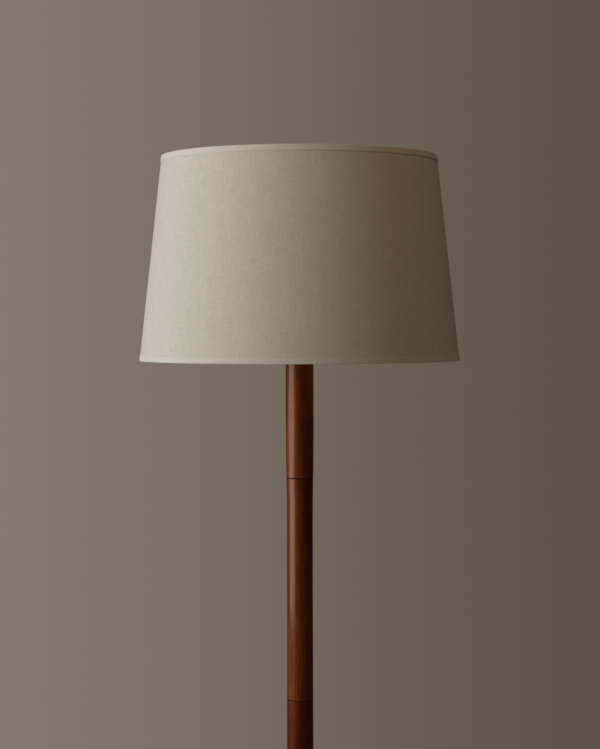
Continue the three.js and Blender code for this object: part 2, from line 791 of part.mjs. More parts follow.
/** Washer over the harp's stud, and arms that rise to the top ring. */
function spider() {
  const ringZ = SHADE_TOP_Z - RING_DEPTH;
  const reach = shadeRadius(ringZ) - RING_INSET - RING_WIRE_R - GAP;
  const startZ = (WASHER_LOW + WASHER_TOP) / 2;
  const course = [[WASHER_R - 3, startZ], [16, startZ + 0.6], [28, startZ + 8], [40, ringZ - 1], [50, ringZ]];
  const bend = new THREE.CatmullRomCurve3(course.map(([x, z]) => new THREE.Vector3(x, 0, z)));
  const run = new THREE.LineCurve3(new THREE.Vector3(49.5, 0, ringZ), new THREE.Vector3(reach, 0, ringZ));
  const arm = joined(wire(bend, RING_WIRE_R, 8), wire(run, RING_WIRE_R, 1));
  const arms = [];
  for (let k = 0; k < SPIDER_ARMS; k += 1) arms.push(arm.clone().rotateZ(armAngle(k)));
  const washer = rod(WASHER_R, WASHER_LOW, WASHER_TOP, SMALL);
  const hole = rod(STUD_HOLE_R, WASHER_LOW - 5, WASHER_TOP + 5);
  return cut(joined(washer, ...arms), hole);
}

function addShade() {
  add('spider', spider(), BRASS);
  add('top_ring', rimRing(SHADE_TOP_Z, -1), STEEL);
  add('bottom_ring', rimRing(SHADE_BOTTOM_Z, 1), STEEL);
  add('shade_liner', shadeSkin(LINER_INSET, LINER_THICKNESS), LINER);
  add('shade_cover', shadeSkin(COVER_INSET, COVER_THICKNESS), LINEN);
  add('top_trim', topTrim(), TAPE);
  add('bottom_trim', rimTrim(SHADE_BOTTOM_Z, 1), TAPE);
}

// ---------------------------------------------------------------- finial

const FINIAL_LOW = WASHER_TOP + GAP;
const SPIGOT_R = 4.6;

function finialInsert() {
  return turnedRing([
    [STUD_HOLE_R, FINIAL_LOW],
    [7, FINIAL_LOW],
    [7, FINIAL_LOW + 1.2],
    [6.4, FINIAL_LOW + 1.8],
    [SPIGOT_R, FINIAL_LOW + 1.8],
    [SPIGOT_R, FINIAL_LOW + 9.5],
    [STUD_HOLE_R, FINIAL_LOW + 9.5],
  ], SMALL);
}

function finial() {
  const low = FINIAL_LOW + 1.8 + GAP;
  const hole = SPIGOT_R + GAP;
  const top = FINIAL_LOW + FINIAL_HEIGHT;
  const ballR = 8.6;
  const ballZ = top - ballR;
  const ball = [];
  for (let degrees = -60; degrees < 90; degrees += 30) {
    const angle = THREE.MathUtils.degToRad(degrees);
    ball.push([ballR * Math.cos(angle), ballZ + ballR * Math.sin(angle)]);
  }
  return turned([
    [0, low + 11],
    [hole, low + 11],
    [hole, low],
    [7, low],
    [7.3, low + 1.2],
    [6.1, low + 3.4],
    ...ball,
    [0, top],
  ], SMALL);
}

// ---------------------------------------------------------------- the lamp

addBase();
addColumn();
addSocket();
addBulb();
addHarp();
addShade();
add('finial', finial(), WOOD);
add('finial_insert', finialInsert(), BRASS);

export default lamp;
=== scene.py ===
"""The looks of a tripod floor lamp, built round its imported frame.

Blender's objects are in metres, +Z up. Outlines and sizes here are in millimetres, and places
come from the frame's boxes.
"""

import json
from math import atan, ceil, cos, degrees, pi, radians, sin, tan

import bpy
import bmesh
from mathutils import Euler, Matrix, Vector, noise


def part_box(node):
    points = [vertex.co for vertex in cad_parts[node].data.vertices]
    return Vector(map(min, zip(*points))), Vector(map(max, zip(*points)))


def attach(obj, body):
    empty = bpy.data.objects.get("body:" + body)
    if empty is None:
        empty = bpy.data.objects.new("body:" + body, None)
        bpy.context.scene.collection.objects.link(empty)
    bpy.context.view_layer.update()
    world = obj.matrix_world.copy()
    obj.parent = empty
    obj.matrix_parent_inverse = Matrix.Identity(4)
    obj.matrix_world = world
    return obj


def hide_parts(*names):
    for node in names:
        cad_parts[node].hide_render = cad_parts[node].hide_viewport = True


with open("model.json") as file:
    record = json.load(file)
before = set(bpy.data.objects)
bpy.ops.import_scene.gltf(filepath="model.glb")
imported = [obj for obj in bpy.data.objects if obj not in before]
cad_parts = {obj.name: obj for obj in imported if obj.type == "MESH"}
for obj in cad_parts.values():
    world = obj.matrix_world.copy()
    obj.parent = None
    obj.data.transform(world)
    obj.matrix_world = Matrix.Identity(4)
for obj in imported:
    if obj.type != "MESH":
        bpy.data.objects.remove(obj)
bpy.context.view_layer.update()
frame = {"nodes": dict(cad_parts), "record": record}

MM = 0.001
TURN = 2 * pi
FACETS = 96
GAP = 0.3  # clearance between neighbouring nodes


# ---- sizes from the frame


def low(node):
    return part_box(node)[0] / MM


def high(node):
    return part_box(node)[1] / MM


def middle(node):
    return (low(node) + high(node)) / 2


def heights(node):
    """A node's lowest and highest level."""
    return low(node).z, high(node).z


def half_width(node):
    return (high(node).x - low(node).x) / 2


def extent(node):
    """A turned node's lowest and highest level, and its radius."""
    return *heights(node), half_width(node)


# Shade. An inset is how far something lies inside the shade's outermost surface.
SHADE_LOW = low("bottom_trim").z
SHADE_HIGH = high("top_trim").z
SHADE_LOW_R = half_width("bottom_trim")
SHADE_SLOPE = (half_width("top_trim") - SHADE_LOW_R) / (low("top_trim").z - SHADE_LOW)
CONE_SINE = sin(atan(-SHADE_SLOPE))
SEAM = 90.0
COVER_INSET = 1.0
COVER_THICKNESS = 0.4
LINER_INSET = 1.95
LINER_THICKNESS = 0.6
TRIM_HEIGHT = high("bottom_trim").z - SHADE_LOW
TRIM_DEPTH = 7.6
TRIM_THICKNESS = 0.8
TAPE_INSET = 0.4
TAPE_THICKNESS = 0.55
BUTT_JOINT = -0.3
RING_WIRE_R = 1.8
RING_INSET = 4.7
RING_DEPTH = TRIM_THICKNESS + GAP + RING_WIRE_R
SPIDER_WIRE_R = 1.8
ARM_ANGLES = (90.0, 210.0, 330.0)
NOTCH_EDGES = [
    arm + off + full for arm in ARM_ANGLES for full in (0, 360)
    for off in (-1.0, -0.9, -0.8, -0.7, 0.7, 0.8, 0.9, 1.0)
]

# Legs and hub
FOOT_CIRCLE_R = -middle("foot_pad_1").y
FOOT_CUT_Z = high("foot_pad_1").z + GAP
LEG_SPLAY = radians(30)
LEG_ATTACH_R = 28
LEG_ATTACH_Z = FOOT_CUT_Z + (FOOT_CIRCLE_R - LEG_ATTACH_R) / tan(LEG_SPLAY)
LEG_LENGTH = (FOOT_CIRCLE_R - LEG_ATTACH_R) / sin(LEG_SPLAY)
LEG_TOP_R = 13
LEG_FOOT_R = 8.4
LEG_BULGE = 1.1
SPOT_FACE_DEPTH = 2.2
HUB_R = 43
HUB_EDGE = 1.5
HUB_BAND_HEIGHT = 14
HUB_NECK_HEIGHT = 8

# Column, with its outline as [height, radius]
COLUMN_OUTLINE = [
    (436, 19.2), (701, 18.75), (770, 18.7), (900, 18.45), (1010, 18.45),
    (1044, 18.65), (1078, 19.2), (1095, 19.55), (1129, 19.77), (1262, 19.9),
]
PIPE_HOLE_R = 5.3
COUNTERBORE_R = 9
COUNTERBORE_DEPTH = 30

# Socket, bulb and harp, with the harp's bow as [half its width, height]
SOCKET_WALL = 0.6
BULB_PITCH = 3.63
FINIAL_PITCH = 0.941
HARP_WIRE_R = 2.2
HARP_BOW = [
    (40.5, 1334), (50, 1358), (57.5, 1386), (60, 1413),
    (57.5, 1441), (48, 1468), (31, 1490), (13, 1501),
]


def shade_radius(z):
    """Radius of the shade's outermost surface at a height."""
    return SHADE_LOW_R + SHADE_SLOPE * (z - SHADE_LOW)


def column_radius(z):
    for (z0, r0), (z1, r1) in zip(COLUMN_OUTLINE, COLUMN_OUTLINE[1:]):
        if z <= z1:
            return r0 + (r1 - r0) * (z - z0) / (z1 - z0)
    return COLUMN_OUTLINE[-1][1]


def underside_z(radius):
    """Height of the hub's coned underside, which is square to the legs."""
    return LEG_ATTACH_Z + (radius - LEG_ATTACH_R) * tan(LEG_SPLAY)


def leg_matrix(number):
    """Places a leg: its own +Z runs up the leg, from 0 at the hub's underside."""
    place = Matrix.Translation((0, -LEG_ATTACH_R, LEG_ATTACH_Z))
    round_axis = Matrix.Rotation((number - 1) * TURN / 3, 4, "Z")
    return round_axis @ place @ Matrix.Rotation(-LEG_SPLAY, 4, "X")


def lying(node, turn):
    """Places what lies at a node's level: 90 turns its +Z towards -Y, and -90 towards +Y."""
    level = Matrix.Translation((0, 0, middle(node).z))
    return level @ Matrix.Rotation(radians(turn), 4, "X")


SWITCH_PLACE = lying("switch_shaft", 90)
SCREW_PLACE = lying("cap_set_screw", -90)


# ---- outlines


def tube_outline(bore, radius, bottom, top):
    """Outline of a plain tube, or of a rod if its bore is 0."""
    return [(bore, bottom), (radius, bottom), (radius, top), (bore, top)]


def rounded(outline, size, steps=4):
    """The outline with its corners as arcs. A corner may state its own size as a third value.

    An outline that starts on the axis is open, and any other one closes on itself. A point
    close beside each arc keeps the flats flat when they are shaded smooth.
    """
    closed = outline[0][0] > 0
    count = len(outline)
    result = []
    for i, corner in enumerate(outline):
        point = Vector(corner[:2])
        radius = corner[2] if len(corner) > 2 else size
        back = Vector(outline[i - 1][:2]) - point
        ahead = Vector(outline[(i + 1) % count][:2]) - point
        turn = back.angle(ahead)
        on_axis = not closed and i in (0, count - 1)
        if on_axis or radius == 0 or turn > radians(168):
            result.append(tuple(point))
            continue
        room = 0.42 * min(back.length, ahead.length)
        reach = min(radius / tan(turn / 2), room)
        start = point + back.normalized() * reach
        end = point + ahead.normalized() * reach
        beside = min(0.25, 0.1 * room)
        result.append(tuple(start + back.normalized() * beside))
        for step in range(steps + 1):
            share = step / steps
            near = start.lerp(point, share)
            result.append(tuple(near.lerp(point.lerp(end, share), share)))
        result.append(tuple(end + ahead.normalized() * beside))
    return result


def smooth(points, steps=8):
    """A Catmull-Rom curve through the points."""
    points = [Vector(p) for p in points]
    ends = [2 * points[0] - points[1], 2 * points[-1] - points[-2]]
    padded = [ends[0], *points, ends[1]]
    result = []
    for a, b, c, d in zip(padded, padded[1:], padded[2:], padded[3:]):
        for step in range(steps):
            t = step / steps
            cubic = (2 * b) + (c - a) * t + (2 * a - 5 * b + 4 * c - d) * t**2
            result.append((cubic + (3 * b - a - 3 * c + d) * t**3) / 2)
    return [*result, points[-1]]


def arc(centre, radius, start, end, steps):
    """Points of an arc in an outline, with angles in degrees."""
    x, y = centre
    angles = [radians(start + (end - start) * step / steps) for step in range(steps + 1)]
    return [(x + radius * cos(angle), y + radius * sin(angle)) for angle in angles]


def groove(radius, bottom, top, depth, slope, corner):
    """A groove's four corners in an outline that runs up."""
    floor = radius - depth
    return [(radius, bottom, corner), (floor, bottom + slope, corner), (floor, top - slope, corner),
            (radius, top, corner)]


def levels(start, end, step):
    """Heights from start to end in even steps no longer than step."""
    count = ceil(abs(end - start) / step)
    return [start + (end - start) * i / count for i in range(count + 1)]


def oval(half_width, half_height, sides=16):
    angles = [TURN * i / sides for i in range(sides)]
    return [(half_width * cos(a), half_height * sin(a)) for a in angles]


def bar(half_width, half_height, corner):
    """A rectangle with rounded corners."""
    box = [(half_width, -half_height), (half_width, half_height), (-half_width, half_height),
           (-half_width, -half_height)]
    return rounded(box, corner, 3)


# ---- solids as (points, faces)


def skinned(rows, closed):
    """Faces between rows of point numbers. Each row is a loop, and a repeated number is a pole."""
    faces = []
    pairs = list(zip(rows, rows[1:]))
    if closed:
        pairs.append((rows[-1], rows[0]))
    for near, far in pairs:
        for i, number in enumerate(near):
            j = (i + 1) % len(near)
            corners = list(dict.fromkeys([number, near[j], far[j], far[i]]))
            if len(corners) > 2:
                faces.append(corners)
    return faces


def turned(outline, facets=FACETS, bend=None):
    """A solid turned about +Z. bend(radius, z, angle) may give each point a new radius and z."""
    points, rows = [], []
    for radius, z in outline:
        if radius == 0:
            rows.append([len(points)] * facets)
            points.append((0, 0, z))
            continue
        rows.append(list(range(len(points), len(points) + facets)))
        for i in range(facets):
            angle = TURN * i / facets
            r, level = bend(radius, z, angle) if bend else (radius, z)
            points.append((r * cos(angle), r * sin(angle), level))
    return points, skinned(rows, outline[0][0] > 0)


def spun(outline, corner=0.4, facets=FACETS, bend=None):
    """A turned solid with its corners rounded."""
    return turned(rounded(outline, corner), facets, bend)


def rod(radius, bottom, top, facets=FACETS):
    return turned(tube_outline(0, radius, bottom, top), facets)


def threaded(least_r, bottom, top, depth, pitch, phase):
    """A bend for turned(): a right-hand thread outside a radius and between two heights."""

    def bend(r, z, angle):
        if r < least_r or not bottom < z < top:
            return r, z
        wave = 0.5 - 0.5 * cos(TURN * (z - phase) / pitch - angle)
        return r - depth * wave, z

    return bend


def swept(path, side, section, domed=True):
    """A bar along a flat path, whose plane is square to side.

    section(share) gives the bar's cross-section as (along side, across it) points. A domed end
    has two smaller rings between the bar and its pole.
    """
    path = [Vector(p) for p in path]
    side = Vector(side)
    last = len(path) - 1
    tangents = [(path[min(i + 1, last)] - path[max(i - 1, 0)]).normalized() for i in range(last + 1)]
    points, rows = [], []

    def ring(i, offset=0.0, scale=1.0):
        """A ring at a point of the path, moved along it by a share of the bar's half thickness.

        A ring without scale is a pole.
        """
        outline = section(i / last)
        depth = min(max(abs(a) for a, _ in outline), max(abs(b) for _, b in outline))
        centre = path[i] + tangents[i] * offset * depth
        if scale == 0:
            rows.append([len(points)] * len(outline))
            points.append(tuple(centre))
            return
        across = tangents[i].cross(side).normalized()
        rows.append(list(range(len(points), len(points) + len(outline))))
        for a, b in outline:
            points.append(tuple(centre + (side * a + across * b) * scale))

    turns = (radians(30), radians(60)) if domed else ()
    dome = [*[(sin(turn), cos(turn)) for turn in turns], (int(domed), 0)]
    for offset, scale in reversed(dome):
        ring(0, -offset, scale)
    for i in range(last + 1):
        ring(i)
    for offset, scale in dome:
        ring(last, offset, scale)
    return points, skinned(rows, False)


def moved(shape, matrix):
    points, faces = shape
    return [tuple(matrix @ Vector(p)) for p in points], faces


# ---- mesh objects


def placed(name, data):
    """A new object in the scene."""
    obj = bpy.data.objects.new(name, data)
    bpy.context.scene.collection.objects.link(obj)
    return obj


def edit(mesh, change):
    """Runs change on the mesh's bmesh."""
    work = bmesh.new()
    work.from_mesh(mesh)
    change(work)
    work.to_mesh(mesh)
    work.free()


def make(name, *shapes):
    """A mesh object from solids in millimetres."""
    points, faces = [], []
    for shape_points, shape_faces in shapes:
        start = len(points)
        points += [tuple(Vector(p) * MM) for p in shape_points]
        faces += [[start + i for i in face] for face in shape_faces]
    mesh = bpy.data.meshes.new(name)
    mesh.from_pydata(points, [], faces)
    edit(mesh, lambda work: bmesh.ops.recalc_face_normals(work, faces=work.faces))
    obj = placed(name, mesh)
    shade(obj)
    return obj


def shade(obj):
    obj.data.shade_smooth()
    obj.data.set_sharp_from_angle(angle=radians(38))


def clean(mesh):
    """Takes out edges without length and faces without area."""
    edit(mesh, lambda work: bmesh.ops.dissolve_degenerate(work, dist=0.001 * MM, edges=work.edges))


def cut(obj, *tools):
    """Cuts the tools' solids out of obj, in place."""
    for number, tool in enumerate(tools):
        cutter = make(f"{obj.name}_cutter_{number}", tool)
        step = obj.modifiers.new("cut", "BOOLEAN")
        step.operation = "DIFFERENCE"
        step.solver = "EXACT"
        step.object = cutter
        bpy.context.view_layer.update()
        graph = bpy.context.evaluated_depsgraph_get()
        result = bpy.data.meshes.new_from_object(obj.evaluated_get(graph))
        obj.modifiers.clear()
        clean(result)
        obj.data = result
        bpy.data.objects.remove(cutter)
    shade(obj)
    return obj


def merge(obj, other):
    """Takes the other's mesh into obj."""
    edit(obj.data, lambda work: work.from_mesh(other.data))
    bpy.data.objects.remove(other)
    shade(obj)


def dress(obj, body, look, node):
    """Gives a finished piece its look's material, and fixes it to the frame in place of a CAD node.
    """
    slot, material = look
    obj.data.materials.clear()
    obj.data.materials.append(material)
    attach(obj, body)
    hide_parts(node)


def add(name, shape, body, look, node):
    """A finished piece from one solid."""
    dress(make(name, shape), body, look, node)


# ---- material graphs


class Nodes:
    """Short ways to add nodes to a tree."""

    def __init__(self, tree):
        self.tree = tree

    def feed(self, socket, value):
        if isinstance(value, bpy.types.NodeSocket):
            self.tree.links.new(value, socket)
        else:
            socket.default_value = value

    def add(self, kind, inputs, **options):
        node = self.tree.nodes.new("ShaderNode" + kind)
        for option, value in options.items():
            setattr(node, option, value)
        for key, value in inputs.items():
            self.feed(node.inputs[key], value)
        return node

    def mapped(self, vector, scale, shift, turn=(0, 0, 0)):
        inputs = {"Vector": vector, "Scale": scale, "Location": shift, "Rotation": turn}
        return self.add("Mapping", inputs).outputs["Vector"]

    def noise(self, vector, scale, detail, roughness, distortion=0.0):
        inputs = {"Vector": vector, "Scale": scale, "Detail": detail, "Roughness": roughness,
                  "Distortion": distortion}
        return self.add("TexNoise", inputs).outputs["Fac"]

    def grain(self, vector, rates, detail, roughness, distortion=0.0, shift=(0, 0, 0)):
        """Noise with its own rate along each axis."""
        return self.noise(self.mapped(vector, rates, shift), 1, detail, roughness, distortion)

    def math(self, operation, a, b=0.0, c=0.0):
        return self.add("Math", {0: a, 1: b, 2: c}, operation=operation).outputs[0]

    def plus(self, a, b, share):
        """The sum of a and a share of b."""
        return self.math("MULTIPLY_ADD", b, share, a)

    def remap(self, value, low_in, high_in, low_out=0.0, high_out=1.0, curve="LINEAR"):
        inputs = {"Value": value, "From Min": low_in, "From Max": high_in, "To Min": low_out,
                  "To Max": high_out}
        return self.add("MapRange", inputs, interpolation_type=curve).outputs["Result"]

    def ramp(self, value, *stops):
        node = self.add("ValToRGB", {"Fac": value})
        ramp = node.color_ramp
        while len(ramp.elements) < len(stops):
            ramp.elements.new(0.5)
        for element, (position, colour) in zip(ramp.elements, stops):
            element.position = position
            element.color = (*colour, 1)
        return node.outputs["Color"]

    def mix(self, share, a, b):
        a, b = [(*value, 1) if isinstance(value, tuple) else value for value in (a, b)]
        return self.add("Mix", {0: share, 6: a, 7: b}, data_type="RGBA").outputs[2]

    def layered(self, colour, *layers):
        """Mixes more colours in. A layer is (value, its range, the share at each end, colour)."""
        for value, span, shares, layer in layers:
            colour = self.mix(self.remap(value, *span, *shares), colour, layer)
        return colour

    def parts(self, vector):
        return self.add("SeparateXYZ", {"Vector": vector}).outputs


class Graph(Nodes):
    """A new material round a Principled shader."""

    def __init__(self, name, **constants):
        self.material = bpy.data.materials.new(name)
        self.material.use_nodes = True
        super().__init__(self.material.node_tree)
        self.shader = self.tree.nodes["Principled BSDF"]
        for socket, value in constants.items():
            self.shader.inputs[socket.replace("_", " ")].default_value = value

    def shape(self):
        """The object's own coordinates, in metres."""
        return self.add("TexCoord", {}).outputs["Object"]

    def cloth(self):
        """Flat coordinates of a cut sheet, in metres, stored on its mesh."""
        return self.add("Attribute", {}, attribute_name="cloth").outputs["Vector"]

    def bump(self, height, depth, strength, socket="Normal"):
        """Bumps of a depth in millimetres."""
        inputs = {"Height": height, "Distance": depth * MM, "Strength": strength}
        self.feed(self.shader.inputs[socket], self.add("Bump", inputs).outputs["Normal"])

    def surface(self, colour, roughness):
        self.feed(self.shader.inputs["Base Color"], colour)
        self.feed(self.shader.inputs["Roughness"], roughness)
        return self.material


# ---- materials


def between(start, end, share):
    """A colour part of the way from one to another."""
    return tuple(a + (b - a) * share for a, b in zip(start, end))


def woven(graph, pitch, slub):
    """A plain weave with a thread pitch in millimetres, and its slubs.

    Returns (height, warp or weft sign, broad streaks).
    """
    vector = graph.cloth()
    across, along, _ = graph.parts(vector)
    thick_weft = graph.grain(vector, (70, 900, 1), 3, 0.6)
    thick_warp = graph.grain(vector, (900, 45, 1), 3, 0.6, shift=(3, 7, 0))
    wander = slub * pitch * MM
    rate = pi / (pitch * MM)
    u = graph.plus(across, thick_warp, wander)
    v = graph.plus(along, thick_weft, wander)
    warp, weft = [graph.math("SINE", graph.math("MULTIPLY", place, rate)) for place in (u, v)]
    crossing = graph.math("MULTIPLY", warp, weft)
    height = graph.math("POWER", graph.math("ABSOLUTE", crossing), 0.6)
    return height, crossing, graph.plus(thick_weft, thick_warp, 0.6)


def linen():
    graph = Graph("linen_weave", Sheen_Weight=0.25, Sheen_Roughness=0.5, Specular_IOR_Level=0.2)
    height, crossing, streaks = woven(graph, pitch=0.62, slub=1.6)
    vector = graph.cloth()
    cloudy = graph.grain(vector, (14, 9, 1), 3, 0.6)
    warp_slubs = graph.grain(vector, (460, 50, 1), 2, 0.6, shift=(1, 5, 0))
    weft_slubs = graph.grain(vector, (60, 460, 1), 2, 0.6, shift=(8, 2, 0))
    slubs = graph.plus(weft_slubs, warp_slubs, 1.35)
    threads = graph.ramp(
        graph.remap(streaks, 0.55, 1.05),
        (0.0, (0.575, 0.535, 0.450)), (0.5, (0.640, 0.600, 0.510)), (1.0, (0.700, 0.662, 0.575)),
    )
    colour = graph.layered(
        threads,
        (cloudy, (0.3, 0.7), (0.0, 0.35), (0.59, 0.55, 0.465)),
        (slubs, (0.94, 1.17), (0.17, 0.0), (0.45, 0.41, 0.335)),
        (slubs, (1.17, 1.40), (0.0, 0.17), (0.83, 0.80, 0.71)),
        # Painted shade: the gaps between threads, where the weave's relief is low, are darkened.
        (height, (0.0, 0.45), (0.32, 0.0), (0.36, 0.32, 0.25)),
        (crossing, (-0.5, 0.5), (0.0, 0.12), (0.74, 0.71, 0.63)),
    )
    graph.bump(graph.plus(height, streaks, 0.9), 0.16, 0.8)
    return graph.surface(colour, graph.remap(streaks, 0.5, 1.1, 0.98, 0.88))


def tape():
    graph = Graph("cotton_tape", Sheen_Weight=0.2, Sheen_Roughness=0.5, Specular_IOR_Level=0.25)
    height, crossing, streaks = woven(graph, pitch=0.34, slub=0.6)
    threads = graph.ramp(
        graph.remap(streaks, 0.55, 1.05), (0.0, (0.600, 0.572, 0.490)), (1.0, (0.680, 0.650, 0.567)),
    )
    # Painted shade: the gaps between the tape's threads are darkened where its relief is low.
    colour = graph.layered(threads, (height, (0.0, 0.4), (0.2, 0.0), (0.43, 0.405, 0.34)))
    graph.bump(graph.plus(height, streaks, 0.5), 0.07, 0.7)
    return graph.surface(colour, graph.remap(crossing, -1, 1, 0.85, 0.93))


def lining():
    graph = Graph("styrene_lining", IOR=1.5, Specular_IOR_Level=0.4)
    vector = graph.shape()
    haze = graph.grain(vector, (6, 6, 2.5), 4, 0.6)
    fine = graph.noise(vector, 900, 2, 0.6)
    colour = graph.ramp(haze, (0.3, (0.80, 0.775, 0.71)), (0.7, (0.86, 0.84, 0.785)))
    graph.bump(graph.plus(fine, haze, 1.5), 0.05, 0.6)
    return graph.surface(colour, graph.remap(fine, 0.3, 0.7, 0.42, 0.55))


def wood(name, shift, tone_and_shade, lean=Matrix()):
    """Oiled red-brown hardwood under a thin satin varnish.

    shift places the tree's heart beside the piece in metres, tone from 0 to 1 goes from orange to
    dark red, and lean is the way the grain runs, where that isn't +Z. On the column sections the
    tone is partly the wood's own and partly painted shade.
    """
    tint = between((1.0, 0.31, 0.06, 1.0), (1.0, 0.23, 0.04, 1.0), tone_and_shade)
    light = between((0.310, 0.0640, 0.0080), (0.100, 0.0180, 0.0035), tone_and_shade)
    mid = between((0.150, 0.0230, 0.0025), (0.035, 0.0055, 0.0011), tone_and_shade)
    dark = between((0.020, 0.0018, 0.0004), (0.008, 0.0006, 0.0002), tone_and_shade)
    graph = Graph(name, IOR=1.62 - 0.14 * tone_and_shade, Specular_IOR_Level=1.0, Specular_Tint=tint,
                  Coat_Weight=0.47, Coat_Roughness=0.10)
    turn = (Euler((0.012, -0.018, 0)).to_matrix() @ lean.to_3x3().inverted()).to_euler()
    vector = graph.mapped(graph.shape(), (1, 1, 1), shift, turn)
    waver = graph.grain(vector, (14, 14, 1.6), 3, 0.55)
    fibre = graph.grain(vector, (1700, 1700, 26), 4, 0.65)
    streak = graph.grain(vector, (230, 230, 3.5), 5, 0.62, 0.2)
    fleck = graph.grain(vector, (900, 900, 75), 2, 0.5)
    band = graph.grain(vector, (45, 45, 1.4), 3, 0.5, shift=(0.4, 0.1, 0))
    figure = graph.grain(vector, (150, 150, 20), 3, 0.6, 0.3, (0.7, 0.2, 0))
    ripple = graph.grain(vector, (420, 420, 110), 3, 0.7, shift=(0.3, 0.9, 0))
    x, y, _ = graph.parts(vector)
    squares = graph.math("ADD", graph.math("POWER", x, 2.0), graph.math("POWER", y, 2.0))
    years = graph.plus(graph.math("MULTIPLY", graph.math("SQRT", squares), 240), waver, 6)
    season = graph.math("FRACT", years)
    colour = graph.layered(
        graph.ramp(season, (0.0, light), (0.6, mid), (0.9, mid), (1.0, light)),
        (season, (0.6, 0.92), (0.0, 0.35), dark),
        (streak, (0.42, 0.62), (0.0, 0.7), mid),
        (streak, (0.56, 0.72), (0.0, 0.5), dark),
        (band, (0.52, 0.72), (0.0, 0.45), dark),
        (figure, (0.47, 0.64), (0.0, 0.8), light),
        (fibre, (0.4, 0.75), (0.0, 0.45), dark),
        (fleck, (0.64, 0.72), (0.0, 0.6), (0.030, 0.008, 0.003)),
    )
    open_pores = graph.remap(fleck, 0.62, 0.72, 1.0, 0.0)
    graph.bump(graph.plus(open_pores, fibre, 0.5), 0.05, 0.3)
    graph.bump(graph.plus(streak, ripple, 2.0), 0.1, 0.6, "Coat Normal")
    rough = graph.plus(graph.math("MULTIPLY", fibre, 0.4), streak, 0.6)
    return graph.surface(colour, graph.remap(rough, 0.35, 0.68, 0.42, 0.74))


def metal(name, bright, dull, roughness, lines=0.0):
    """Metal with a cloudy patina and, where lines is set, fine turning marks round +Z."""
    graph = Graph(name, Metallic=1.0)
    vector = graph.shape()
    cloud = graph.noise(vector, 90, 5, 0.62)
    fine = graph.noise(vector, 1600, 3, 0.6)
    marks = graph.grain(vector, (25, 25, 4200), 2, 0.6)
    colour = graph.mix(graph.remap(cloud, 0.35, 0.7), bright, dull)
    wear = graph.plus(graph.math("MULTIPLY", cloud, 0.6), fine, 0.4)
    graph.bump(graph.plus(fine, marks, lines), 0.012, 0.5)
    return graph.surface(colour, graph.remap(wear, 0.3, 0.7, roughness - 0.07, roughness + 0.1))


def moulded(name, base, patch, roughness, grain=700, depth=0.03, **constants):
    """Moulded or pressed stuff: faint patches of colour and a fine grain."""
    graph = Graph(name, **constants)
    vector = graph.shape()
    cloud = graph.noise(vector, 60, 5, 0.6)
    fine = graph.noise(vector, grain, 3, 0.6)
    graph.bump(fine, depth, 0.6)
    colour = graph.mix(graph.remap(cloud, 0.35, 0.7), base, patch)
    return graph.surface(colour, graph.remap(fine, 0.3, 0.7, roughness - 0.06, roughness + 0.08))


WOOD_CHOICES = {
    "hub": ((0.060, 0.020, 0.3), 0.5),
    "leg_1": ((0.045, 0.030, 1.1), 0.55, leg_matrix(1)),
    "leg_2": ((-0.050, 0.040, 2.3), 0.35, leg_matrix(2)),
    "leg_3": ((0.030, -0.055, 3.7), 0.65, leg_matrix(3)),
    # The column sections' tones are partly their own wood and partly painted shade: the lowest is
    # darkest where the light falls off towards the floor, and the top one is set a little darker for
    # the lampshade's shadow.
    "column_section_1": ((0.020, 0.062, 0.2), 1.0),
    "column_section_2": ((0.055, 0.030, 1.9), 0.62),
    "column_section_3": ((-0.030, 0.058, 4.1), 0.45),
    "finial": ((0.050, -0.035, 5.3), 0.4),
}

# A look is a material slot and its material.
WOODS = {node: ("wood", wood(f"wood_{node}", *choice)) for node, choice in WOOD_CHOICES.items()}
LINEN = "linen", linen()
TAPE = "trim_tape", tape()
LINING = "shade_lining", lining()
BRASS = "brass", metal("satin_brass", (0.62, 0.43, 0.19), (0.46, 0.29, 0.115), 0.3, 0.7)
BRASS_WIRE = "brass", metal("brass_plated_wire", (0.66, 0.47, 0.22), (0.50, 0.33, 0.14), 0.24)
STEEL = "steel", metal("zinc_plated_steel", (0.58, 0.58, 0.57), (0.42, 0.42, 0.40), 0.36, 0.5)
ALUMINIUM = "bulb_metal", metal(
    "rolled_aluminium", (0.77, 0.77, 0.76), (0.62, 0.62, 0.61), 0.28, 0.4,
)
BLACK_RING = "black_ring", moulded(
    "black_fibre", (0.004, 0.003, 0.003), (0.010, 0.008, 0.006), 0.75, Specular_IOR_Level=0.12,
)
PHENOLIC = "black_plastic", moulded(
    "dark_phenolic", (0.012, 0.008, 0.006), (0.030, 0.018, 0.011), 0.3, 400, 0.015,
    Coat_Weight=0.3, Coat_Roughness=0.15,
)
CARD = "card", moulded("pressed_card", (0.36, 0.24, 0.12), (0.24, 0.15, 0.07), 0.85, 1500, 0.05)
RUBBER = "rubber", moulded(
    "black_rubber", (0.014, 0.013, 0.012), (0.032, 0.030, 0.028), 0.82, 1100, 0.05,
)
FROSTED = "frosted_glass", moulded(
    "frosted_glass", (0.86, 0.85, 0.81), (0.80, 0.79, 0.75), 0.34, 1800, 0.01,
    Subsurface_Weight=0.25, Subsurface_Scale=0.004, Coat_Weight=0.2,
)


# ---- hub, legs and feet


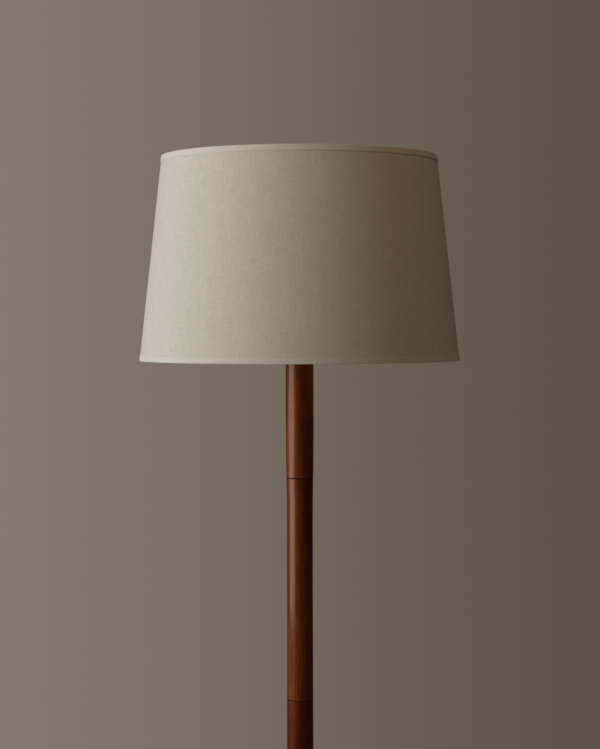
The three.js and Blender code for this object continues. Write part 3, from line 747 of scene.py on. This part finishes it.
def add_hub():
    bottom, top = heights("hub")
    neck = column_radius(top)
    flat = LEG_ATTACH_R - (LEG_ATTACH_Z - bottom) / tan(LEG_SPLAY)
    edge_r = HUB_R - HUB_EDGE
    band_low = underside_z(HUB_R) + HUB_EDGE
    band_high = band_low + HUB_BAND_HEIGHT
    cove_top = top - HUB_NECK_HEIGHT
    cove = []
    for step in range(1, 25):
        angle = radians(90 - 90 * step / 24)
        radius = edge_r - (edge_r - neck) * cos(angle)
        cove.append((radius, cove_top - (cove_top - band_high) * sin(angle)))
    outline = [
        (PIPE_HOLE_R, bottom), (flat, bottom), (edge_r, underside_z(edge_r), 2.5),
        (HUB_R, band_low, 2.5), (HUB_R, band_high - HUB_EDGE, 2), (edge_r + 0.2, band_high, 1.2),
        *cove, (neck, top, 0.5), (PIPE_HOLE_R, top),
    ]
    obj = make("hub_turning", spun(outline, 0.6))
    spot_face = rod(LEG_TOP_R + GAP, -20, SPOT_FACE_DEPTH, 64)
    cut(obj, *[moved(spot_face, leg_matrix(number)) for number in (1, 2, 3)])
    dress(obj, "stand", WOODS["hub"], "hub")


def add_leg(number):
    """A tapered, slightly bellied turning, cut level where it stands on its foot pad."""
    node = f"leg_{number}"
    top = SPOT_FACE_DEPTH - 0.1
    bottom = -LEG_LENGTH - LEG_FOOT_R
    edge = 0.6
    outline = [(0, bottom)]
    for step in range(25):
        share = step / 24
        taper = LEG_FOOT_R + (LEG_TOP_R - LEG_FOOT_R) * share
        radius = taper + LEG_BULGE * sin(pi * share)
        outline.append((radius, bottom + edge + (top - edge - bottom) * share, edge))
    outline.append((0, top))
    points, faces = spun(outline, edge, 64)
    level = [(x, y, max(z, tan(LEG_SPLAY) * y - LEG_LENGTH)) for x, y, z in points]
    obj = make(f"leg_turning_{number}", moved((level, faces), leg_matrix(number)))
    clean(obj.data)
    shade(obj)
    dress(obj, "stand", WOODS[node], node)


def add_foot_pad(number):
    node = f"foot_pad_{number}"
    radius = half_width("foot_pad_1")
    top = high(node).z
    outline = [(0, 0), (radius, 0, 0.5), (radius, top - 0.9, 0.6), (radius - 1, top, 0.4), (0, top)]
    place = Matrix.Translation((middle(node).x, middle(node).y, 0))
    add(f"foot_button_{number}", moved(spun(outline), place), "stand", RUBBER, node)


def add_hub_washer():
    tube = tube_outline(PIPE_HOLE_R, half_width("hub_washer"), *heights("hub_washer"))
    add("hub_washer_turned", spun(tube, 0.3), "stand", STEEL, "hub_washer")


def add_hub_nut():
    bottom, top, corner = extent("hub_nut")
    flat = corner * cos(pi / 6)
    chamfer = 0.8

    def hexagon(r, z, angle):
        """Flats where the round blank stands out of them, with the corners chamfered."""
        if r < flat - 0.5:
            return r, z
        nearest = (angle % (TURN / 6)) - TURN / 12
        return min(r, flat / cos(nearest)), z

    outline = [
        (PIPE_HOLE_R, bottom), (flat, bottom, 0), (corner, bottom + chamfer, 0),
        (corner, top - chamfer, 0), (flat, top, 0), (PIPE_HOLE_R, top),
    ]
    add("hub_hex_nut", spun(outline, 0.25, 144, hexagon), "stand", BRASS, "hub_nut")


def add_cord_bushing():
    bottom, top, outer = extent("cord_bushing")
    mouth = 3.2
    step = bottom + 2.4
    outline = [
        (mouth + 0.6, bottom, 0.5), (outer - 0.8, bottom, 0.6), (outer, bottom + 0.8, 0.5),
        (outer, top), (PIPE_HOLE_R, top), (PIPE_HOLE_R, step), (mouth, step),
        (mouth, bottom + 0.7, 0.5),
    ]
    add("cord_grommet", spun(outline, 0.2), "stand", RUBBER, "cord_bushing")


# ---- column


def add_column_section(number):
    node = f"column_section_{number}"
    bottom, top = heights(node)
    counterbore = bottom + COUNTERBORE_DEPTH
    sides = [(column_radius(z), z, 0) for z, _ in COLUMN_OUTLINE if bottom + 5 < z < top - 5]
    outline = [
        (COUNTERBORE_R, bottom), (column_radius(bottom), bottom, 0.55), *sides,
        (column_radius(top), top, 0.55), (PIPE_HOLE_R, top), (PIPE_HOLE_R, counterbore),
        (COUNTERBORE_R, counterbore),
    ]
    add(f"column_turning_{number}", spun(outline, 0.3, 128), "stand", WOODS[node], node)


def add_joint_ring(number):
    """Each ring reaches halfway into the gaps above and below it."""
    node = f"joint_ring_{number}"
    bottom, top = heights(node)
    tube = tube_outline(COUNTERBORE_R, half_width(node), bottom - GAP / 2, top + GAP / 2)
    add(f"joint_spacer_{number}", spun(tube, 0.15, 128), "stand", BLACK_RING, node)


# ---- socket, saddle and switch


def add_check_ring():
    bottom, top, outer = extent("check_ring")
    outline = [
        (PIPE_HOLE_R, bottom), (outer, bottom, 0.3), (outer, bottom + 1.2, 0.5),
        (14.6, bottom + 1.5, 0.4), (13, top, 0.8), (PIPE_HOLE_R, top),
    ]
    add("check_ring_turned", spun(outline, 0.3), "stand", BRASS, "check_ring")


def add_saddle():
    """Strip with upturned ends, each drawn out into the round post that a harp foot sits on."""
    bottom, post_top = heights("harp_saddle")
    half_foot = middle("ferrule_right").x
    arm_top = low("ferrule_right").z - 2 * GAP
    thick = 2
    bend = 4
    base = bottom + thick / 2
    corner = arc((half_foot - bend, base + bend), bend, -90, 0, 8)
    right = [*corner, (half_foot, base + bend + 0.5), (half_foot, arm_top)]
    left = [(-x, z) for x, z in reversed(right)]
    flats = [(x, base) for x in range(-24, 25, 8)]
    path = [(x, 0, z) for x, z in [*left, *flats, *right]]

    def section(share):
        """Broad in the middle, and narrower up the arms."""
        reach = abs(2 * share - 1)
        half = 4.5 - 1.4 * max(0.0, reach - 0.75) / 0.25
        return bar(half, thick / 2, 0.45)

    obj = make("harp_saddle_pressing", swept(path, (0, 1, 0), section, domed=False))
    cut(obj, rod(PIPE_HOLE_R + 1, bottom - 5, bottom + 9))
    boss = spun(tube_outline(PIPE_HOLE_R, 9.4, bottom, bottom + thick))
    post_outline = [(0, arm_top - 3), (2.1, arm_top - 3), (2.1, post_top, 0.8), (0, post_top)]
    post = spun(post_outline, facets=32)
    posts = [moved(post, Matrix.Translation((side * half_foot, 0, 0))) for side in (-1, 1)]
    merge(obj, make("harp_saddle_boss", boss, *posts))
    dress(obj, "stand", BRASS, "harp_saddle")


def add_socket_cap():
    base, top, outer = extent("socket_cap")
    inner = outer - SOCKET_WALL
    outline = [
        (PIPE_HOLE_R, base), (9, base, 0.5), (9.6, base + 0.7, 0.3), (9.6, base + 6, 0.6),
        (13.4, base + 8, 2.5), (16.4, base + 11.5, 2.5), (outer, base + 15, 2),
        *groove(outer, top - 4.2, top - 2.2, 0.35, 0.4, 0.3), (outer, top, 0.25),
        (inner, top, 0.15), (inner - 0.2, base + 15.2, 2), (15.8, base + 12, 2),
        (12.9, base + 8.8, 1), (PIPE_HOLE_R, base + 8.8),
    ]
    obj = make("socket_cap_spun", spun(outline, 0.3))
    cut(obj, moved(rod(1.8, 5, outer, 24), SCREW_PLACE))
    dress(obj, "stand", BRASS, "socket_cap")


def add_set_screw():
    z = middle("cap_set_screw").z
    end = high("cap_set_screw").y
    screw = spun(tube_outline(0, 1.5, PIPE_HOLE_R + 0.1, end), 0.25, 32)
    obj = make("set_screw_slotted", moved(screw, SCREW_PLACE))
    slot = [(-2, -0.22), (2, -0.22), (2, 0.22), (-2, 0.22)]
    depth = [(0, end - 0.8, z), (0, end + 1, z)]
    cut(obj, swept(depth, (1, 0, 0), lambda share: slot, domed=False))
    dress(obj, "stand", STEEL, "cap_set_screw")


def add_socket_shell():
    bottom, top, bead = extent("socket_shell")
    outer = bead - 0.6
    inner = outer - SOCKET_WALL
    outline = [
        (inner, bottom, 0.2), (outer, bottom, 0.2),
        *groove(outer, top - 9.4, top - 7.8, 0.4, 0.5, 0.2), (outer, top - 3, 0.5),
        (bead, top - 2, 0.6), (bead, top - 0.7, 0.6), (outer, top, 0.3), (inner, top, 0.2),
    ]
    obj = make("socket_shell_spun", spun(outline, 0.3, 128))
    cut(obj, moved(rod(5.2, 4, 30, 48), SWITCH_PLACE))
    dress(obj, "stand", BRASS, "socket_shell")


def add_insulating_sleeve():
    outer = half_width("insulating_sleeve")
    tube = tube_outline(outer - SOCKET_WALL, outer, *heights("insulating_sleeve"))
    obj = make("insulating_tube", spun(tube, 0.12, 128))
    cut(obj, moved(rod(4.2, 4, 30, 48), SWITCH_PLACE))
    dress(obj, "stand", CARD, "insulating_sleeve")


def add_screw_shell():
    bottom, top, outer = extent("screw_shell")
    crest = outer - 0.05
    wall = 0.3
    outside = [(crest, z) for z in levels(bottom + 1.5, top - 1.2, 0.45)]
    inside = [(crest - wall, z) for z in levels(top - 1.2, bottom + 1.5, 0.45)]
    thread = threaded(outer - 0.6, bottom + 1, top - 0.9, 0.32, BULB_PITCH, low("bulb_base").z)
    outline = [
        (5, bottom), (outer, bottom), *outside, (outer, top - 0.4), (outer, top),
        (outer - wall - 0.1, top), *inside, (outer - 0.6, bottom + 0.8), (5, bottom + 0.8),
    ]
    add("screw_shell_rolled", turned(outline, 72, thread), "stand", BRASS, "screw_shell")


def add_switch_shaft():
    near, far = -high("switch_shaft").y, -low("switch_shaft").y
    shaft = spun(tube_outline(0, half_width("switch_shaft"), near, far), 0.3, 48)
    add("switch_spindle", moved(shaft, SWITCH_PLACE), "switch", BRASS, "switch_shaft")


def add_switch_knob():
    near, far = -high("switch_knob").y, -low("switch_knob").y
    radius = half_width("switch_knob")
    hole = half_width("switch_shaft") + GAP
    ribs = 16
    rib_depth = 0.55

    def ribbed(r, level, angle):
        if r < radius - 1.2 or not near + 1.2 < level < far - 1.2:
            return r, level
        return r - rib_depth * (0.5 - 0.5 * cos(ribs * angle)) ** 0.7, level

    grip = [(radius, level, 0) for level in levels(near + 1.6, far - 1.6, 1.2)]
    outline = [
        (0, far - 3), (hole, far - 3), (hole, near), (radius - 1.6, near, 0.5),
        (radius - 0.4, near + 0.7, 0.4), *grip, (radius - 0.4, far - 0.8, 0.6),
        (radius - 2.2, far, 0.8), (0, far - 0.15),
    ]
    knob = spun(outline, 0.3, 192, ribbed)
    add("switch_knob_ribbed", moved(knob, SWITCH_PLACE), "switch", PHENOLIC, "switch_knob")


# ---- bulb


def add_bulb_glass():
    foot, top = heights("bulb_glass")
    base_top = high("bulb_base").z
    neck = 11.6
    widest_rise = 52
    below = [(neck, 0.5), (14.6, 8), (19.4, 17), (25.2, 28.5), (28.9, 40)]
    above = [(28.6, 63), (24.4, 72), (17.6, 78.5), (9, 81.6)]
    course = [*below, (half_width("bulb_glass"), widest_rise), *above]
    side = smooth([*[(radius, base_top + rise) for radius, rise in course], (0, top)], 6)
    outer = [(max(p.x, 0), p.y) for p in side[:-1]]
    inner = []
    for radius, z in reversed(outer):
        sunk = 0.8 if z > base_top + widest_rise else 0
        inner.append((max(radius - 1, 0.3), z - sunk))
    outline = [(0, top - 1), *inner, (neck - 1, foot), (neck, foot), *outer, (0, top)]
    add("bulb_envelope", turned(outline), "bulb", FROSTED, "bulb_glass")


def add_bulb_base():
    bottom, top, radius = extent("bulb_base")
    wall = 0.35
    outside = [(radius, z) for z in levels(bottom + 2.2, top - 4.2, 0.4)]
    inside = [(radius - wall, z) for z in levels(top - 4.2, bottom + 2.2, 0.4)]
    thread = threaded(radius - 0.5, bottom + 2, top - 4, 0.65, BULB_PITCH, bottom)
    outline = [
        (4, bottom), (radius - 1.6, bottom), (radius - 0.7, bottom + 0.6), *outside,
        (radius - 0.5, top - 3.2), (radius, top - 2.6), (radius, top - 0.3), (radius - 0.1, top),
        (radius - wall, top), *inside, (radius - 1.3, bottom + 0.9), (4, bottom + 0.35),
    ]
    add("bulb_cap_rolled", turned(outline, 72, thread), "bulb", ALUMINIUM, "bulb_base")


def add_bulb_insulator():
    bottom, top = heights("bulb_insulator")
    outline = [(0, bottom), (5, bottom, 0.6), (8.5, bottom + 0.9, 2), (11.5, top, 0.4), (0, top)]
    add("bulb_vitrite", spun(outline), "bulb", PHENOLIC, "bulb_insulator")


def add_bulb_tip():
    bottom, top = heights("bulb_tip")
    outline = [(0, bottom)]
    for angle in (0.3, 0.6, 0.9, 1.2, pi / 2):
        outline.append((4.6 * sin(angle), top - (top - bottom) * cos(angle)))
    add("bulb_solder_tip", turned([*outline, (0, top)], 48), "bulb_contact", ALUMINIUM, "bulb_tip")


# ---- harp and finial


def add_harp_bow():
    foot, top = heights("harp_wire")
    half_foot = middle("ferrule_right").x
    straight = [(half_foot, foot + rise) for rise in (HARP_WIRE_R, 16, 29, 34)]
    right = [*straight, *HARP_BOW]
    left = [(-x, z) for x, z in reversed(right)]
    path = smooth([(x, 0, z) for x, z in [*right, (0, top - HARP_WIRE_R), *left]])

    def section(share):
        """Round, and pressed flat where the crown carries the stud."""
        flatness = min(1.0, 2 * max(0.0, 1 - abs(share - 0.5) / 0.022))
        return oval(HARP_WIRE_R * (1 + 0.55 * flatness), HARP_WIRE_R * (1 - 0.25 * flatness))

    add("harp_bow", swept(path, (0, 1, 0), section), "harp", BRASS_WIRE, "harp_wire")


def add_harp_stud():
    bottom, top, plate_r = extent("harp_stud")
    plate = bottom + 1.5
    stud_r = 3
    side = [(stud_r, z) for z in levels(plate + 0.8, top - 0.5, 0.13)]
    outline = [
        (0, bottom - 0.2), (plate_r - 0.4, bottom - 0.2), (plate_r, bottom + 0.2),
        (plate_r, plate - 0.4), (plate_r - 0.4, plate), (stud_r + 0.1, plate), *side,
        (stud_r - 0.5, top - 0.1), (0, top),
    ]
    thread = threaded(stud_r - 0.05, plate + 0.7, top - 0.4, 0.42, FINIAL_PITCH, bottom)
    add("harp_stud_threaded", turned(outline, 48, thread), "harp", BRASS, "harp_stud")


def add_harp_sleeve(side):
    node = f"ferrule_{side}"
    bottom, top, outer = extent(node)
    bore = 2.6
    outline = [
        (bore, bottom), (outer, bottom, 0.4),
        *groove(outer, bottom + 1.4, top - 1.4, 0.35, 0.5, 0.3), (outer, top, 0.5), (bore, top, 0.2),
    ]
    sleeve = moved(spun(outline, 0.3, 64), Matrix.Translation((middle(node).x, 0, 0)))
    add(f"harp_sleeve_{side}", sleeve, node, BRASS, node)


def add_finial():
    bottom, top, ball_r = extent("finial")
    hole = 4.9
    ball = [(*point, 0) for point in arc((0, top - ball_r), ball_r, -52, 87, 28)]
    outline = [
        (0, bottom + 11), (hole, bottom + 11), (hole, bottom, 0.2), (7, bottom, 0.4),
        (7.4, bottom + 0.7, 0.5), (7.1, bottom + 1.5, 0.5), (5.6, bottom + 2.3, 0.6),
        (5.4, bottom + 3.2, 0.6), *ball, (0, top),
    ]
    add("finial_turning", spun(outline, 0.3), "finial", WOODS["finial"], "finial")


def add_finial_insert():
    base, top, flange = extent("finial_insert")
    barrel = 4.6
    bore = 3.3

    def knurled(r, z, angle):
        if r < flange - 0.1:
            return r, z
        return r - 0.22 * (0.5 - 0.5 * cos(40 * angle)), z

    outline = [
        (bore, base, 0.2), (flange - 0.5, base, 0.2), (flange, base + 0.4, 0),
        (flange, base + 1.2, 0), (flange - 0.6, base + 1.8, 0.2), (barrel, base + 1.8, 0.1),
        (barrel, top), (bore, top),
    ]
    insert = spun(outline, 0.2, 240, knurled)
    add("finial_thread_insert", insert, "finial_insert", BRASS, "finial_insert")


# ---- shade


def wrapped(name, section, lap, lift, columns=240, extra=(), bend=None):
    """A strip wrapped round the shade's cone, whose end laps over its start at the back.

    section is a closed outline of (inset, height). lap is the overlap in millimetres, or the gap
    of a butt joint if it is negative, and lift is how far the lapping end stands out. Flat
    coordinates of the cut sheet go in "cloth".
    """
    middle_r = shade_radius(sum(z for _, z in section) / len(section))
    half = degrees(lap / middle_r) / 2
    start, end = SEAM - half, SEAM + 360 + half
    step = (end - start) / columns
    angles = [start + i * step for i in range(columns + 1)]
    angles += [angle for angle in extra if start < angle < end]
    points, rows, flat = [], [], []
    for angle in sorted(angles):
        over = min(1.0, max(0.0, (angle - (end - 2 * half - 0.6)) / 0.6))
        turn = radians(angle)
        spread = (turn - radians(start + end) / 2) * CONE_SINE
        rows.append(list(range(len(points), len(points) + len(section))))
        for inset, z in section:
            if bend:
                inset, z = bend(inset, z, angle)
            out = shade_radius(z) - inset + lift * over
            points.append((out * cos(turn), out * sin(turn), z))
            reach = out / CONE_SINE
            flat.append((reach * sin(spread) * MM, -reach * cos(spread) * MM, 0))
    obj = make(name, (points, [*skinned(rows, False), rows[0], rows[-1][::-1]]))
    cloth = obj.data.attributes.new("cloth", "FLOAT_VECTOR", "POINT")
    for value, place in zip(cloth.data, flat):
        value.vector = place
    return obj


def sheet_section(inset, thickness, bottom, top, rows):
    """A thin upright sheet: up its outer face and down its inner one."""
    outer = [(inset, bottom + (top - bottom) * i / rows) for i in range(rows + 1)]
    return [*outer, *[(inset + thickness, z) for _, z in reversed(outer)]]


def settled(inset, z, angle):
    """The linen's slight unevenness over the lining."""
    turn = radians(angle)
    place = Vector((cos(turn) * 2.2, sin(turn) * 2.2, z / 90))
    return inset - 0.10 * noise.noise(place), z


def add_shade_cover():
    lap = 12
    bottom, top = heights("shade_cover")
    section = sheet_section(COVER_INSET, COVER_THICKNESS, bottom, top, 18)
    cover = wrapped("linen_cover", section, lap, 0.42, 256, bend=settled)
    dress(cover, "shade", LINEN, "shade_cover")


def add_shade_liner():
    section = sheet_section(LINER_INSET, LINER_THICKNESS, *heights("shade_cover"), 1)
    liner = wrapped("styrene_liner", section, 10, -0.62, 256)
    dress(liner, "shade", LINING, "shade_liner")


def rim_section(rim, inwards):
    """The folded tape's section: over the cloth, round the rim and a lip up inside."""
    under = TAPE_INSET + TAPE_THICKNESS
    lip = TRIM_DEPTH - TAPE_THICKNESS
    outline = [
        (TAPE_INSET, 0.0, 0.8), (TAPE_INSET, TRIM_HEIGHT, 0.3), (under, TRIM_HEIGHT, 0.1),
        (under, TAPE_THICKNESS, 0.1), (lip, TAPE_THICKNESS, 0.3), (lip, TRIM_HEIGHT, 0.1),
        (TRIM_DEPTH, TRIM_HEIGHT, 0.25), (TRIM_DEPTH, 0.0, 1.6),
    ]
    return [(inset, rim + inwards * depth) for inset, depth in rounded(outline, 0.2, 3)]


def notched(inset, z, angle):
    """The top tape's lip inside is snipped where a spider arm comes through to the ring."""
    fold = 1.0
    depth = SHADE_HIGH - z
    if inset < 3 or depth < fold:
        return inset, z
    off = min(abs((angle - arm + 180) % 360 - 180) for arm in ARM_ANGLES)
    snip = radians(off) * shade_radius(z)
    share = min(1.0, max(0.05, (snip - 2.4) / 0.8))
    return inset, SHADE_HIGH - (fold + (depth - fold) * share)


def add_trim(end, rim, inwards, **notches):
    tape = wrapped(f"{end}_rim_tape", rim_section(rim, inwards), BUTT_JOINT, 0.0, **notches)
    dress(tape, "shade", TAPE, f"{end}_trim")


def add_ring(end, rim, inwards):
    z = rim + inwards * RING_DEPTH
    outline = arc((shade_radius(z) - RING_INSET, z), RING_WIRE_R, 0, 337.5, 15)
    add(f"{end}_ring_wire", turned(outline, 192), "shade", STEEL, f"{end}_ring")


def add_spider():
    """A washer, and three wire arms that bend up from it to welds on the top ring."""
    hub_low = low("spider").z
    hub_high = hub_low + 2
    start = hub_low + 1
    ring_z = high("top_ring").z - RING_WIRE_R
    reach = shade_radius(ring_z) - RING_INSET - RING_WIRE_R - 0.1
    course = [
        (8, start), (16, start + 0.6), (28, start + 8), (40, ring_z - 1), (50, ring_z), (56, ring_z),
    ]
    bend = smooth([(x, 0, z) for x, z in course])
    path = [*bend, *[(x, 0, ring_z) for x in (70, 100, 140, reach - 5, reach - 1, reach)]]

    def section(share):
        """Round wire, flattened where it is welded to the washer."""
        weld = max(0.0, 1 - share / 0.12)
        return oval(SPIDER_WIRE_R * (1 + 0.5 * weld), SPIDER_WIRE_R * (1 - 0.35 * weld), 20)

    bead = turned([(0, -1.2), *arc((0, 0.6), 2.6, -35, 80, 8), (0, 3.0)], 24)
    quarter = Matrix.Rotation(pi / 2, 4, "Y")
    at_ring = Matrix.Translation((reach - SPIDER_WIRE_R, 0, ring_z)) @ quarter
    shapes = [spun(tube_outline(3.3, 11, hub_low, hub_high), 0.5)]
    for arm in ARM_ANGLES:
        turn = Matrix.Rotation(radians(arm), 4, "Z")
        shapes.append(moved(swept(path, (0, 1, 0), section, domed=False), turn))
        shapes.append(moved(bead, turn @ at_ring))
    dress(make("spider_fitting", *shapes), "shade", BRASS_WIRE, "spider")


# ---- carried-over CAD nodes


def dress_hidden_parts():
    """Bolts, inserts, pipes and the socket's works stay as the frame has them."""
    materials = dict([BRASS, STEEL, PHENOLIC, FROSTED, ALUMINIUM, RUBBER, CARD])
    slots = {part["node"]: part["material_slot"] for part in frame["record"]["subparts"]}
    for node, obj in frame["nodes"].items():
        if obj.hide_render:
            continue
        obj.data.materials.clear()
        obj.data.materials.append(materials[slots[node]])


# ---- stage, light and camera


def add_floor():
    """A pale disc in metres, clear from below."""
    reach = 2.35
    mesh = bpy.data.meshes.new("studio_floor")
    edit(mesh, lambda work: bmesh.ops.create_circle(work, cap_ends=True, radius=reach, segments=128))
    floor = placed("studio_floor", mesh)
    graph = Graph("pale_floor", Specular_IOR_Level=0.3)
    mottle = graph.noise(graph.shape(), 3, 5, 0.6)
    colour = graph.ramp(mottle, (0.3, (0.54, 0.496, 0.442)), (0.7, (0.59, 0.546, 0.492)))
    mesh.materials.append(graph.surface(colour, graph.remap(mottle, 0.3, 0.7, 0.7, 0.85)))
    below = graph.add("NewGeometry", {}).outputs["Backfacing"]
    clear = graph.add("BsdfTransparent", {}).outputs[0]
    either = graph.add("MixShader", {0: below, 1: graph.shader.outputs[0], 2: clear}).outputs[0]
    graph.feed(graph.tree.nodes["Material Output"].inputs["Surface"], either)


def add_light(name, azimuth, distance, height, aim, size, power, colour):
    """A soft panel. Azimuth 0 is the camera's side, and 90 is its left."""
    data = bpy.data.lights.new(name, "AREA")
    data.shape = "RECTANGLE"
    data.size, data.size_y = size
    data.energy = power
    data.color = colour
    light = placed(name, data)
    turn = radians(azimuth)
    light.location = (-sin(turn) * distance, -cos(turn) * distance, height)
    light.rotation_euler = (Vector(aim) - light.location).to_track_quat("-Z", "Y").to_euler()
    light.visible_camera = False


def add_world():
    """Dim light from all round. The camera sees a taupe backdrop instead, painted lighter on the
    left as if lit from that side.
    """
    world = bpy.data.worlds.new("studio")
    bpy.context.scene.world = world
    world.use_nodes = True
    graph = Nodes(world.node_tree)
    lighting = graph.tree.nodes["Background"]
    lighting.inputs["Color"].default_value = (0.0250, 0.0195, 0.0165, 1)
    across = graph.parts(graph.add("TexCoord", {}).outputs["Generated"])["X"]
    # Painted light: the backdrop is lighter on the left, on the window light's side, and falls off
    # to the right.
    painted_falloff = graph.remap(across, -0.22, 0.20, curve="SMOOTHSTEP")
    backdrop = graph.mix(painted_falloff, (0.236, 0.203, 0.161), (0.107, 0.083, 0.059))
    seen = graph.add("Background", {"Color": backdrop})
    direct = graph.add("LightPath", {}).outputs["Is Camera Ray"]
    either = graph.add("MixShader", {0: direct, 1: lighting.outputs[0], 2: seen.outputs[0]})
    graph.feed(graph.tree.nodes["World Output"].inputs["Surface"], either.outputs[0])


def add_camera():
    data = bpy.data.cameras.new("camera")
    data.sensor_width = 36
    data.lens = 86.9
    camera = placed("camera", data)
    camera.location = (0.0007, -2.576, 1.300)
    camera.rotation_euler = (radians(90 - 1.785), radians(0.10), 0)
    bpy.context.scene.camera = camera


add_camera()
add_world()
add_light("window", 73, 2.2, 1.64, (0, 0, 1.45), (2.2, 2.32), 51.5, (0.975, 1.0, 1.0))
add_light("skylight", -12, 1.5, 3.4, (0, 0, 1.25), (1.6, 1.6), 14.8, (1.0, 0.715, 0.465))
add_floor()

add_hub()
for number in (1, 2, 3):
    add_leg(number)
    add_foot_pad(number)
    add_column_section(number)
    add_joint_ring(number)
add_hub_washer()
add_hub_nut()
add_cord_bushing()
add_check_ring()
add_saddle()
add_socket_cap()
add_set_screw()
add_socket_shell()
add_insulating_sleeve()
add_screw_shell()
add_switch_shaft()
add_switch_knob()
add_bulb_glass()
add_bulb_base()
add_bulb_insulator()
add_bulb_tip()
add_harp_bow()
add_harp_stud()
add_harp_sleeve("left")
add_harp_sleeve("right")
add_finial()
add_finial_insert()
add_shade_cover()
add_shade_liner()
add_trim("bottom", SHADE_LOW, 1)
add_trim("top", SHADE_HIGH, -1, extra=NOTCH_EDGES, bend=notched)
add_ring("top", SHADE_HIGH, -1)
add_ring("bottom", SHADE_LOW, 1)
add_spider()
dress_hidden_parts()

bpy.context.scene.view_settings.view_transform = "Standard"
